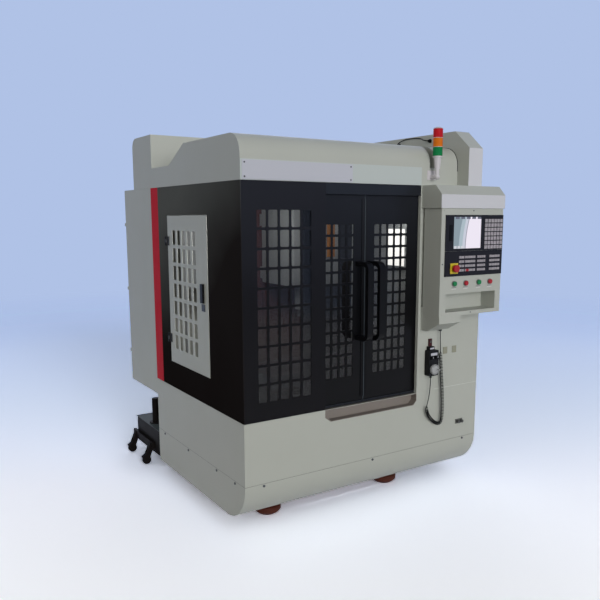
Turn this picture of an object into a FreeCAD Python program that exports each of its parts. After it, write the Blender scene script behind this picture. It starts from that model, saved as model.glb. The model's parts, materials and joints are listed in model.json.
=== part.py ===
import FreeCAD, Part
import math
import os
import re
import Sketcher
from FreeCAD import Placement, Rotation, Vector

# A vertical machining centre in a sheet-metal enclosure. Sizes are in mm. Machine positions
# count X from the left face, Y from the front face (minus is proud of it) and Z from the floor.
SIZES = {
    # the frame: where the enclosure's front left corner stands
    "left": "=-(hood_end_x + tank_x - pedal_out)/2",
    "front": "=-(cabinet_back_y + cabinet_door_deep + rear_latch_proud - panel_proud"
             " - black_thick - estop_plate_thick - estop_press - reveal - mushroom_thick)/2",
    # enclosure
    "body_wide": 1568, "body_deep": 1155, "black_wide": 1090, "stripe_y": 1044,
    "skirt_low": 75, "skirt_seam": 282, "sill": 600, "black_top": 1750,
    "sheet": 2.5, "fold": 20, "reveal": 0.5, "seat": 0.3, "spare": 3, "skirt_round": 207,
    # work surround
    "fixed_wide": 470, "header_low": 1695, "track_y": 20, "track_deep": 40, "track_tall": 12,
    "pane_thick": 5,
    "fixed_cell_wide": 50, "fixed_cell_tall": 81, "fixed_pitch_x": 63, "fixed_pitch_z": 93.5,
    "fixed_cell_x": 82, "fixed_cell_z": 694, "fixed_columns": 5, "fixed_rows": 10, "cell_round": 8,
    # sliding doors
    "meet_x": 729.5, "door_left_x": 360, "door_right_x": 1100, "door_y": 26, "door_deep": 24,
    "door_low": 612.8, "door_high": 1694.7, "seal_wide": 18, "seal_proud": 4, "door_travel": 330,
    "door_cell_wide": 34, "door_cell_tall": 49, "door_pitch_x": 47, "door_pitch_z": 62,
    "left_cell_x": 437, "right_cell_x": 795, "door_cell_z": 752, "door_columns": 5,
    "door_rows": 13, "door_cell_round": 5,
    "handle_wide": 37, "handle_thick": 22, "handle_low": 945, "handle_high": 1355,
    "handle_proud": 85, "handle_off": 19.5, "handle_round": 42, "handle_inner_round": 20,
    # sill pocket
    "pocket_x": 469, "pocket_end_x": 1092, "pocket_low": 532, "pocket_high": 598,
    "pocket_deep": 45, "pocket_cant": 35, "pocket_cant_z": 25, "pocket_end_cant": 22,
    "groove_z": 604, "groove_wide": 2, "groove_deep": 1,
    # side access door
    "access_y": 373, "access_end_y": 899, "access_low": 755, "access_high": 1590,
    "access_proud": 2, "access_deep": 18, "access_cell_wide": 43, "access_cell_tall": 79,
    "access_pitch_y": 68.5, "access_pitch_z": 98.3, "access_cell_y": 515, "access_cell_z": 840,
    "access_columns": 5, "access_rows": 7, "access_cell_round": 6,
    "knuckle_radius": 7, "knuckle_tall": 50, "knuckle_low_z": 869, "knuckle_high_z": 1424,
    "knuckle_x": 10, "knuckle_y": 904, "leaf_wide": 24, "leaf_thick": 3,
    "latch_y": 429, "latch_z": 1192, "latch_wide": 28, "latch_tall": 99, "latch_thick": 12,
    "latch_shaft": 7, "latch_gap": 1, "lock_wide": 40, "lock_low": 1099, "lock_high": 1135,
    # hood
    "hood_top": 1965, "hood_round": 100, "hood_flat_y": 644, "hood_step_y": 855,
    "hood_step": 1863, "hood_back_y": 1125, "main_hood_wide": 1150, "hood_gap": 45,
    "hood_inset": 18, "right_hood_x": "=main_hood_wide + hood_gap",
    "right_hood_end": "=body_wide - hood_inset", "bridge_top": 1840, "band_top": 1845, "band_proud": 2,
    "sign_x": 8, "sign_wide": 620, "sign_low": 1753, "sign_tall": 88, "sign_thick": 3,
    "screw_radius": 4, "screw_proud": 2, "screw_inset": 12,
    # rear top box, cabinet
    "box_back_y": 1449, "box_top": 2056, "box_round": 60, "cabinet_back_y": 1630,
    "cabinet_low": 500, "cabinet_door_deep": 20, "cabinet_border": 60, "rear_knuckle": 6,
    "backplate_thick": 4, "backplate_gap": 60, "module_wide": 120, "module_tall": 200,
    "module_deep": 110, "module_pitch": 190, "module_z": 1180, "module_x": 180,
    "module_count": 6, "rear_latch_wide": 26, "rear_latch_tall": 110, "rear_latch_proud": 14,
    # cable duct
    "duct_inset": 90, "duct_x": "=right_hood_end - duct_inset - duct_wide", "duct_wide": 104,
    "duct_proud": 86, "duct_low": "=black_top + reveal", "duct_face": 1955,
    "duct_cant_y": 26, "duct_top": 2052, "duct_wall": 2, "gland_y": 225, "gland_z": 2017,
    "gland_radius": 11, "gland_proud": 16, "lead_radius": 3, "lead_exit": 14,
    "plug_y": 496, "plug_z": 2018, "plug_radius": 7, "plug_proud": 8,
    # control box
    "panel_x": 1107, "panel_end_x": 1576, "panel_proud": 146, "panel_back": 15,
    "panel_low": 1048, "panel_high": 1628, "fascia_thick": 4, "hood_x": 1098,
    "hood_end_x": 1582, "hood_proud": 152, "hood_slope_z": 1700, "hood_slope_y": 105,
    "bracket_x": 1110, "bracket_wide": 158, "bracket_nose": 1010, "bracket_low": 960,
    "bracket_flat": 51, "black_x": 1135, "black_end_x": 1574, "lower_black_z": 1265,
    "split_z": 1400, "upper_black_z": 1593, "black_thick": 5, "split_gap": 1,
    "screen_x": 1194, "screen_end_x": 1402, "screen_low": 1413, "screen_high": 1583,
    "screen_sunk": 3, "screen_thick": 2, "usb_x": 1161, "usb_end_x": 1182, "usb_low": 1455,
    "usb_high": 1540, "flap_proud": 2,
    "key_tall": 13, "key_proud": 3, "key_gap": 3, "key_rows": 4, "keys_z": 1296,
    "key_pitch": 23.5, "keys_a_x": 1238, "keys_a_wide": 17, "keys_a_count": 2,
    "keys_b_x": 1283, "keys_b_wide": 17, "keys_b_count": 4, "keys_c_x": 1377,
    "keys_c_wide": 13, "keys_c_count": 4, "keys_d_x": 1472, "keys_d_wide": 18,
    "keys_d_count": 4, "soft_x": 1428, "soft_z": 1408, "soft_pitch": 24,
    "soft_size": 19, "soft_columns": 6, "soft_rows": 7,
    "shelf_x": 1153, "shelf_end_x": 1535, "shelf_low": 1070, "shelf_high": 1170,
    "shelf_deep": 105, "estop_x": 1202, "estop_z": 1308, "estop_plate_half": 28,
    "estop_plate_thick": 3, "mushroom_radius": 20, "mushroom_thick": 14, "stem_radius": 8,
    "stem_long": 26, "estop_bore": 8.3, "estop_press": 7,
    "button_a_x": 1210, "button_b_x": 1297, "button_c_x": 1397, "button_d_x": 1485,
    "button_z": 1224.5, "button_radius": 13, "button_thick": 9, "ring_radius": 16,
    "ring_thick": 4, "ring_bore": 13.4, "push_shaft": 5, "push_shaft_long": 24,
    "push_bore": 5.2, "button_press": 3, "tag_wide": 34, "tag_tall": 12, "tag_drop": 32,
    "tag_thick": 1.5,
    # signal tower
    "tower_x": 1160, "tower_y": -45, "lens_radius": 26, "lens_tall": 45, "disc_tall": 3, "lens_gap": 0.5,
    "green_z": 1904, "amber_z": 1952, "red_z": 2000, "dome_tall": 10, "pole_radius": 11,
    "pole_low": 1800, "elbow_radius": 15, "elbow_low": 1780, "collar_tall": 8,
    "post_radius": 5, "cup_low": 1836, "cup_radius": 15, "cup_top_radius": 20,
    # pendant
    "pendant_x": 1146, "pendant_wide": 70, "pendant_low": 696, "pendant_tall": 146,
    "pendant_deep": 38, "pendant_gap": 2, "wheel_x": 1181, "wheel_z": 734, "wheel_radius": 29,
    "wheel_thick": 12, "wheel_gap": 1, "crank_radius": 5, "crank_off": 19, "crank_long": 16,
    "axle_radius": 6, "axle_long": 12, "axle_bore": 6.1, "knob_z": 800, "knob_off": 18,
    "knob_radius": 10, "knob_thick": 12, "mark_wide": 2.5, "hanger_wide": 24,
    "hanger_tall": 62, "hanger_thick": 6, "peg_rise": 46, "cap_inset": 12, "cap_wide": 36,
    "cap_tall": 20, "cap_deep": 26, "label_x": 1157, "label_wide": 48, "label_z": 813,
    "label_tall": 15, "label_thick": 0.8, "dish_radius": 12, "dish_deep": 3,
    "cord_y": 22, "cord_gland_x": 1240,
    "cord_gland_radius": 9, "cord_gland_tall": 14, "cord_radius": 2.5, "curl_radius": 7.8,
    "cord_entry": 1175,
    "plate_wide": 32, "plate_tall": 40, "plate_z": 804, "plate_thick": 3,
    "plate_a_x": 1286, "plate_b_x": 1357,
    "fitting_x": 1402, "fitting_wide": 56, "fitting_z": 368, "fitting_tall": 28,
    "fitting_thick": 16,
    # castings and axes
    "bed_x": 200, "bed_wide": 940, "bed_y": 222, "bed_end_y": 1100, "bed_foot_tall": 225,
    "bed_top": 470, "way_x": 351, "way_wide": 640, "spindle_x": 671, "spindle_y": 480,
    "rail_wide": 30, "rail_tall": 28, "rail_clear": 0.1, "y_rail_a": 431, "y_rail_b": 881,
    "y_rail_y": 240, "y_rail_long": 520, "saddle_y": 300, "saddle_deep": 360,
    "saddle_low": 516, "saddle_tall": 104, "block_long": 70, "block_wall": 14,
    "block_lift": 10, "y_block_off": 110, "x_block_off": 100, "x_rail_a": 360,
    "x_rail_b": 570, "table_x": 321, "table_wide": 700, "table_y": 290, "table_deep": 380,
    "table_low": 666, "table_tall": 70, "slot_wide": 14, "slot_deep": 26, "slot_head": 24,
    "slot_head_tall": 12, "slot_pitch": 100, "slot_count": 3,
    "column_x": 421, "column_wide": 500, "column_y": 790, "column_high": 1830,
    "column_wall": 40, "z_rail_a": 541, "z_rail_b": 771, "z_rail_low": 860,
    "z_rail_long": 940, "head_x": 521, "head_wide": 300, "head_y": 380, "head_low": 1200,
    "head_tall": 440, "head_back": 744, "head_block_z": 1220, "head_block_high": 1530,
    "motor_half": 75, "motor_tall": 190, "nose_radius": 75, "nose_tall": 140,
    "strip_x": 737, "strip_wide": 40, "strip_deep": 20, "strip_low": 1360, "strip_tall": 200,
    "spindle_radius": 44, "spindle_clear": 0.05, "spindle_low": 1020, "spindle_long": 290,
    "flange_radius": 60, "flange_tall": 24, "taper_radius": 16,
    "taper_deep": 60, "key_slot": 16, "tool_radius": 10, "tool_drop": 46,
    # levelling feet
    "foot_radius": 74, "foot_rim": 26, "foot_dome": 120, "foot_tall": 70,
    "foot_bowl": 95, "foot_bowl_z": 80.8, "stud_radius": 12,
    "stud_high": 110, "stud_clear": 0.5, "foot_left_x": 268, "foot_right_x": 1075,
    "foot_front_y": 262, "foot_back_y": 1000,
    # chamber lining
    "tray_z": 560, "tray_low": 440, "tray_x": 40, "tray_left_end": 336, "tray_right_x": 1006,
    "lining_x": 1240, "lining_front": 60.3, "tray_front_end": 130, "lining_back": 785,
    "lining_low": 1180, "lining_left_end": 404, "lining_right_x": 938,
    "lamp_y": 262, "lamp_wide": 160, "lamp_low": 1290, "lamp_tall": 225, "lamp_proud": 30,
    # coolant tank
    "tank_x": 12, "tank_wide": 1300, "tank_y": 1172, "tank_end_y": 1600, "tank_low": 80,
    "tank_high": 250, "tank_rim": 6, "pump_x": 60, "pump_y": 1370, "pump_radius": 24,
    "pump_tall": 165, "pump_flange": 42, "pump_flange_tall": 8, "lid_thick": 3,
    "tank_wall": 3, "channel_proud": 18, "channel_low": 105, "channel_high": 150,
    "channel_y": 1285, "channel_end_y": 1640,
    # its casters, measured outwards from the tank's ends
    "wheel_half": 10, "caster_radius": 28, "caster_out": 44, "caster_y": 1320,
    "caster_end_y": 1600, "fork_gap": 1, "fork_thick": 4, "fork_nose": 10, "caster_axle": 5,
    "pedal_out": 74, "pedal_low": 46, "pedal_thick": 6, "pedal_rise": 40,
}

doc = FreeCAD.newDocument("machining_centre")
sheet = doc.addObject("Spreadsheet::Sheet", "Dim")
for row, (name, value) in enumerate(SIZES.items(), start=1):
    sheet.set(f"A{row}", name)
    sheet.set(f"B{row}", str(value))
    sheet.setAlias(f"B{row}", name)
sheet.recompute()
doc.recompute()

NODES = []
SHIFT = {"x": "left + ", "y": "front + ", "z": ""}
# plane role -> the machine axes of its sketch's u and v, the axis of its normal, its sense
PLANES = {"XY_Plane": ("x", "y", "z", 1), "XZ_Plane": ("x", "z", "y", -1),
          "YZ_Plane": ("y", "z", "x", 1)}


def bound(text):
    """Expression text with every size name looked up in the sheet."""
    return re.sub(r"[a-z][a-z0-9_]*", r"Dim.\g<0>", text)


def at(axis, text):
    """Expression text of a machine position along one axis, in the part's frame."""
    return bound(f"{SHIFT[axis]}({text})")


def number(text):
    """What a bound expression comes to, for shapes made from points."""
    return float(sheet.evalExpression(text))


def amount(text):
    return number(bound(text))


def bind(item, prop, text):
    item.setExpression(prop, bound(text))


def stand(item, x, y, z):
    """Bind an object's position to machine coordinates."""
    for axis, text in zip("xyz", (x, y, z)):
        item.setExpression(f"Placement.Base.{axis}", at(axis, text))


def node(item, label):
    """Name a finished object as one of the part's nodes."""
    item.Label = label
    NODES.append(item)
    return item


def box(name, x, y, z, wide, deep, tall):
    item = doc.addObject("Part::Box", name)
    bind(item, "Length", wide)
    bind(item, "Width", deep)
    bind(item, "Height", tall)
    stand(item, x, y, z)
    return item


TURNS = {"z": Rotation(), "y": Rotation(Vector(1, 0, 0), 90), "x": Rotation(Vector(0, 1, 0), 90)}


def rod(name, way, x, y, z, radius, long):
    """A cylinder that grows up (z), to the right (x) or towards the front (y)."""
    item = doc.addObject("Part::Cylinder", name)
    item.Placement = Placement(Vector(), TURNS[way])
    bind(item, "Radius", radius)
    bind(item, "Height", long)
    stand(item, x, y, z)
    return item


def fuse(name, items):
    item = doc.addObject("Part::MultiFuse", name)
    item.Shapes = items
    item.Refine = True
    return item


def group(name, items):
    """Pieces that don't touch, kept side by side."""
    item = doc.addObject("Part::Compound", name)
    item.Links = items
    return item


def cut(name, base, tools):
    item = doc.addObject("Part::Cut", name)
    item.Base = base
    item.Tool = tools[0] if len(tools) == 1 else fuse(f"{name}_tools", tools)
    item.Refine = True
    return item


def origin_part(body, role):
    return next(f for f in body.Origin.OriginFeatures if f.Role == role)


def sketch_at(body, name, role, level):
    item = body.newObject("Sketcher::SketchObject", name)
    item.AttachmentSupport = [(origin_part(body, role), "")]
    item.MapMode = "FlatFace"
    _, _, axis, sense = PLANES[role]
    sign = "" if sense > 0 else "-"
    item.setExpression("AttachmentOffset.Base.z", f"{sign}({at(axis, level)})")
    return item


def draw(sketch, role, corners):
    """A closed outline through corners, each held to the origin by the sheet's sizes."""
    u_axis, v_axis, _, _ = PLANES[role]
    spots = [(at(u_axis, u), at(v_axis, v)) for u, v in corners]
    seen = [Vector(number(u), number(v), 0) for u, v in spots]
    count = len(seen)
    for i in range(count):
        sketch.addGeometry(Part.LineSegment(seen[i], seen[(i + 1) % count]), False)
    for i in range(count):
        sketch.addConstraint(Sketcher.Constraint("Coincident", i, 2, (i + 1) % count, 1))
    for i, (u, v) in enumerate(spots):
        across = sketch.addConstraint(
            Sketcher.Constraint("DistanceX", -1, 1, i, 1, seen[i].x))
        sketch.setExpression(f"Constraints[{across}]", u)
        up = sketch.addConstraint(Sketcher.Constraint("DistanceY", -1, 1, i, 1, seen[i].y))
        sketch.setExpression(f"Constraints[{up}]", v)


def rectangle(u_low, v_low, u_high, v_high):
    return [(u_low, v_low), (u_high, v_low), (u_high, v_high), (u_low, v_high)]


def pad(body, name, role, level, corners, long):
    """A slab on an outline, growing along the machine axis."""
    sketch = sketch_at(body, f"{name}_outline", role, level)
    draw(sketch, role, corners)
    item = body.newObject("PartDesign::Pad", name)
    item.Profile = sketch
    bind(item, "Length", long)
    item.Reversed = PLANES[role][3] < 0
    body.Tip = item
    return item


def pocket(body, name, role, level, corners, deep):
    """A recess on an outline, growing along the machine axis."""
    sketch = sketch_at(body, f"{name}_outline", role, level)
    draw(sketch, role, corners)
    item = body.newObject("PartDesign::Pocket", name)
    item.Profile = sketch
    bind(item, "Length", deep)
    item.Reversed = PLANES[role][3] > 0
    body.Tip = item
    return item


def draw_cell(sketch, role, u, v, wide, tall, corner):
    """A rounded rectangle from its low corner, held by the sheet's sizes."""
    u_axis, v_axis, _, _ = PLANES[role]
    u_text, v_text = at(u_axis, u), at(v_axis, v)
    x0, y0, r = number(u_text), number(v_text), amount(corner)
    x1, y1 = x0 + amount(wide), y0 + amount(tall)
    sides = [((x0 + r, y0), (x1 - r, y0)), ((x1, y0 + r), (x1, y1 - r)),
             ((x1 - r, y1), (x0 + r, y1)), ((x0, y1 - r), (x0, y0 + r))]
    for start, end in sides:
        sketch.addGeometry(Part.LineSegment(Vector(*start, 0), Vector(*end, 0)), False)
    middles = [(x1 - r, y0 + r), (x1 - r, y1 - r), (x0 + r, y1 - r), (x0 + r, y0 + r)]
    for i, middle in enumerate(middles):
        circle = Part.Circle(Vector(*middle, 0), Vector(0, 0, 1), r)
        first = math.radians(-90 + 90 * i)
        arc = Part.ArcOfCircle(circle, first, first + math.radians(90))
        sketch.addGeometry(arc, False)
    for i in range(4):
        sketch.addConstraint(Sketcher.Constraint("Tangent", i, 2, 4 + i, 1))
        sketch.addConstraint(Sketcher.Constraint("Tangent", 4 + i, 2, (i + 1) % 4, 1))
        sketch.addConstraint(Sketcher.Constraint("Horizontal" if i % 2 == 0 else "Vertical", i))
    for i in range(1, 4):
        sketch.addConstraint(Sketcher.Constraint("Equal", 4, 4 + i))
    held = [(Sketcher.Constraint("Radius", 4, r), bound(corner)),
            (Sketcher.Constraint("DistanceX", -1, 1, 3, 1, x0), u_text),
            (Sketcher.Constraint("DistanceX", 3, 1, 1, 1, x1 - x0), bound(wide)),
            (Sketcher.Constraint("DistanceY", -1, 1, 0, 1, y0), v_text),
            (Sketcher.Constraint("DistanceY", 0, 1, 2, 1, y1 - y0), bound(tall))]
    for constraint, text in held:
        index = sketch.addConstraint(constraint)
        sketch.setExpression(f"Constraints[{index}]", text)


def lattice(body, role, level, cell, pitches, counts):
    """Rows and columns of rounded openings through a sheet."""
    sketch = sketch_at(body, "cell_outline", role, level)
    draw_cell(sketch, role, *cell)
    opening = body.newObject("PartDesign::Pocket", "cell")
    opening.Profile = sketch
    opening.Type = "ThroughAll"
    opening.Midplane = True
    grid = body.newObject("PartDesign::MultiTransform", "grid")
    grid.Originals = [opening]
    steps = []
    for axis, pitch, count in zip(PLANES[role][:2], pitches, counts):
        step = body.newObject("PartDesign::LinearPattern", f"along_{axis}")
        step.Direction = (origin_part(body, f"{axis.upper()}_Axis"), [""])
        step.Mode = "Spacing"
        bind(step, "Offset", pitch)
        bind(step, "Occurrences", count)
        steps.append(step)
    grid.Transformations = steps
    body.Tip = grid
    return grid


def round_edges(body, name, base, radius, chosen):
    """Round the edges of a feature whose middle point passes the test."""
    doc.recompute()
    names = []
    for i, edge in enumerate(base.Shape.Edges, start=1):
        if chosen(edge):
            names.append(f"Edge{i}")
    item = body.newObject("PartDesign::Fillet", name)
    item.Base = (base, names)
    bind(item, "Radius", radius)
    body.Tip = item
    return item


def new_body(name):
    return doc.addObject("PartDesign::Body", f"{name}_body")


def middle(edge):
    return edge.valueAt((edge.FirstParameter + edge.LastParameter) / 2)


def along(edge, axis):
    """Whether an edge is a straight line along an axis."""
    if edge.Curve.TypeId != "Part::GeomLine":
        return False
    way = edge.tangentAt(edge.FirstParameter)
    return abs(getattr(way, axis)) > 0.999


# ---------------------------------------------------------------- enclosure base
def rolled_block(name, wall, radius):
    """The skirt's outside, or its inside when given a wall."""
    body = new_body(name)
    far = f"body_deep + {wall}*fold/sheet"
    high = f"skirt_seam + {wall}*fold/sheet"
    outline = [(wall, high), (wall, f"skirt_low + {wall}"), (far, f"skirt_low + {wall}"),
               (far, high)]
    block = pad(body, "block", "YZ_Plane", wall, outline, f"body_wide - 2*{wall}")
    front = amount(f"front + {wall}") + 1
    low = amount(f"skirt_low + {wall}") + 1
    round_edges(body, "rolled", block, radius,
                lambda e: along(e, "x") and middle(e).y < front and middle(e).z < low)
    return body


def make_skirt():
    outside = rolled_block("skirt_outside", "0", "skirt_round - reveal")
    inside = rolled_block("skirt_inside", "sheet", "skirt_round - reveal - sheet")
    floor = box("skirt_floor", "sheet", "skirt_round", "skirt_low - fold",
                "body_wide - 2*sheet", "body_deep", "2*fold")
    return node(cut("skirt", outside, [inside, floor]), "lower_valance")


def make_front_panel():
    body = new_body("front_panel")
    outline = [("sheet", "skirt_seam + reveal"), ("body_wide - sheet", "skirt_seam + reveal"),
               ("body_wide - sheet", "black_top"), ("black_wide + reveal", "black_top"),
               ("black_wide + reveal", "sill"), ("sheet", "sill")]
    pad(body, "face", "XZ_Plane", "0", outline, "sheet")
    mouth = [("pocket_x + pocket_cant", "pocket_low"),
             ("pocket_end_x - pocket_end_cant", "pocket_low"),
             ("pocket_end_x", "pocket_low + pocket_end_cant"),
             ("pocket_end_x", "pocket_high"), ("pocket_x", "pocket_high"),
             ("pocket_x", "pocket_low + pocket_cant_z")]
    pocket(body, "pocket_mouth", "XZ_Plane", "-fold", mouth, "2*fold")
    pocket(body, "seam_groove", "XZ_Plane", "-fold",
           rectangle("black_wide + 2*fold", "groove_z", "body_wide - sheet",
                     "groove_z + groove_wide"), "fold + groove_deep")
    flanges = [
        box("sill_flange", "sheet", "0", "sill - sheet", "pocket_x - sheet", "fold", "sheet"),
        box("jamb_flange", "black_wide + reveal", "0", "sill", "sheet", "fold",
            "header_low - sill"),
        box("seam_flange", "sheet", "0", "skirt_seam + reveal", "body_wide - 2*sheet", "fold",
            "sheet")]
    return node(fuse("front_panel_folded", [body] + flanges), "front_panel")


def make_side_panels():
    node(box("base_side", "0", "0", "skirt_seam + reveal", "sheet", "body_deep",
             "sill - skirt_seam - reveal"), "left_base_panel")
    wall = box("right_side", "body_wide - sheet", "0", "skirt_seam + reveal", "sheet",
               "body_deep", "black_top - skirt_seam - reveal")
    ledge = box("right_ledge", "body_wide - sheet - hood_inset - fold", "sheet + reveal",
                "black_top - sheet", "hood_inset + fold + sheet", "body_deep - sheet - reveal",
                "sheet")
    node(fuse("right_side_folded", [wall, ledge]), "right_side_panel")
    body = new_body("left_side_panel")
    pad(body, "face", "YZ_Plane", "0",
        rectangle("0", "sill + reveal", "stripe_y - reveal", "black_top"), "sheet")
    pocket(body, "doorway", "YZ_Plane", "-fold",
           rectangle("access_y - spare", "access_low - spare", "access_end_y + spare",
                     "access_high + spare"), "2*fold")
    node(body, "left_side_panel")
    node(box("stripe", "0", "stripe_y", "sill + reveal", "sheet", "body_deep - stripe_y",
             "black_top - sill - reveal"), "left_stripe")


def make_sill_pocket():
    body = new_body("sill_pocket")
    outer = [("pocket_x + pocket_cant + reveal", "pocket_low + reveal"),
             ("pocket_end_x - pocket_end_cant - reveal", "pocket_low + reveal"),
             ("pocket_end_x - reveal", "pocket_low + pocket_end_cant + reveal"),
             ("pocket_end_x - reveal", "pocket_high - reveal"),
             ("pocket_x + reveal", "pocket_high - reveal"),
             ("pocket_x + reveal", "pocket_low + pocket_cant_z + reveal")]
    inner = [("pocket_x + pocket_cant + 2*sheet", "pocket_low + reveal + sheet"),
             ("pocket_end_x - pocket_end_cant - reveal - sheet", "pocket_low + reveal + sheet"),
             ("pocket_end_x - reveal - sheet", "pocket_low + pocket_end_cant + reveal + sheet"),
             ("pocket_end_x - reveal - sheet", "pocket_high - reveal - sheet"),
             ("pocket_x + reveal + sheet", "pocket_high - reveal - sheet"),
             ("pocket_x + reveal + sheet", "pocket_low + pocket_cant_z + 2*sheet")]
    pad(body, "tub", "XZ_Plane", "0", outer, "pocket_deep")
    pocket(body, "hollow", "XZ_Plane", "-fold", inner, "fold + pocket_deep - sheet")
    return node(body, "sill_pocket")


def make_fixed_front():
    body = new_body("front_left_panel")
    pad(body, "face", "XZ_Plane", "0",
        rectangle("sheet", "sill + reveal", "fixed_wide", "black_top"), "fold")
    pocket(body, "folds", "XZ_Plane", "sheet",
           rectangle("2*sheet", "sill + reveal + sheet", "fixed_wide - sheet",
                     "black_top - sheet"), "fold")
    lattice(body, "XZ_Plane", "0",
            ("fixed_cell_x", "fixed_cell_z", "fixed_cell_wide", "fixed_cell_tall",
             "cell_round"),
            ("fixed_pitch_x", "fixed_pitch_z"), ("fixed_columns", "fixed_rows"))
    node(body, "front_left_panel")
    node(box("fixed_pane", "fixed_cell_x - fold", "sheet + reveal", "fixed_cell_z - fold",
             "fixed_columns*fixed_pitch_x + fold", "pane_thick",
             "fixed_rows*fixed_pitch_z + fold"), "front_window_pane")
    header = box("header_face", "fixed_wide + reveal", "0", "header_low",
                 "black_wide - fixed_wide - reveal", "sheet", "black_top - header_low")
    fold = box("header_fold", "fixed_wide + reveal", "0", "header_low",
               "black_wide - fixed_wide - reveal", "track_y + track_deep", "sheet")
    web = box("header_web", "sheet + spare", "track_y + track_deep - sheet", "header_low",
              "door_right_x + door_travel + fold - spare", "sheet", "track_deep")
    rail = box("top_rail", "sheet + spare", "track_y + fold", "header_low + sheet",
               "door_right_x + door_travel + fold - spare", "fold - spare", "track_tall")
    low = box("low_rail", "sheet + spare", "track_y", "sill + reveal",
              "door_right_x + door_travel + fold - spare", "track_deep", "track_tall")
    lip = box("low_lip", "sheet + spare", "track_y + track_deep - sheet", "sill + reveal",
              "door_right_x + door_travel + fold - spare", "sheet", "fold")
    end = box("track_end", "door_right_x + door_travel + fold", "track_y + track_deep - sheet",
              "sill + reveal", "sheet", "sheet", "header_low - sill")
    node(fuse("header", [header, fold, web, rail, low, lip, end]), "door_header")


# ---------------------------------------------------------------- sliding doors
def make_door(side, x_low, x_high, cell_x, seal_x):
    body = new_body(f"{side}_door")
    pad(body, "face", "XZ_Plane", "door_y", rectangle(x_low, "door_low", x_high, "door_high"),
        "door_deep")
    pocket(body, "folds", "XZ_Plane", "door_y + sheet",
           rectangle(f"{x_low} + sheet", "door_low + sheet", f"{x_high} - sheet",
                     "door_high - sheet"), "door_deep")
    lattice(body, "XZ_Plane", "door_y",
            (cell_x, "door_cell_z", "door_cell_wide", "door_cell_tall", "door_cell_round"),
            ("door_pitch_x", "door_pitch_z"), ("door_columns", "door_rows"))
    seal = box(f"{side}_seal", seal_x, "door_y - seal_proud", "door_low + fold", "seal_wide",
               "seal_proud", "door_high - door_low - 2*fold")
    node(fuse(f"{side}_door_sealed", [body, seal]), f"{side}_door")
    node(box(f"{side}_pane", f"{cell_x} - fold", "door_y + sheet + reveal",
             "door_cell_z - fold", "door_columns*door_pitch_x + fold", "pane_thick",
             "door_rows*door_pitch_z + fold"), f"{side}_door_pane")


def make_handle(side, x_low):
    body = new_body(f"{side}_handle")
    outer = rectangle("-handle_proud", "handle_low", "door_y - reveal", "handle_high")
    bar = pad(body, "bar", "YZ_Plane", x_low, outer, "handle_wide")
    front = amount("front - handle_proud") + 1
    bent = round_edges(body, "bends", bar, "handle_round",
                       lambda e: along(e, "x") and middle(e).y < front)
    gap = rectangle("handle_thick - handle_proud", "handle_low + handle_thick",
                    "door_y + fold", "handle_high - handle_thick")
    grip = pocket(body, "grip", "YZ_Plane", f"{x_low} - fold", gap, "handle_wide + 2*fold")
    inner = front + amount("handle_thick")
    round_edges(body, "inner_bends", grip, "handle_inner_round",
                lambda e: along(e, "x") and inner - 2 < middle(e).y < inner
                and abs(middle(e).z - amount("(handle_low + handle_high)/2")) > 1)
    return node(body, f"{side}_handle")


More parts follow.
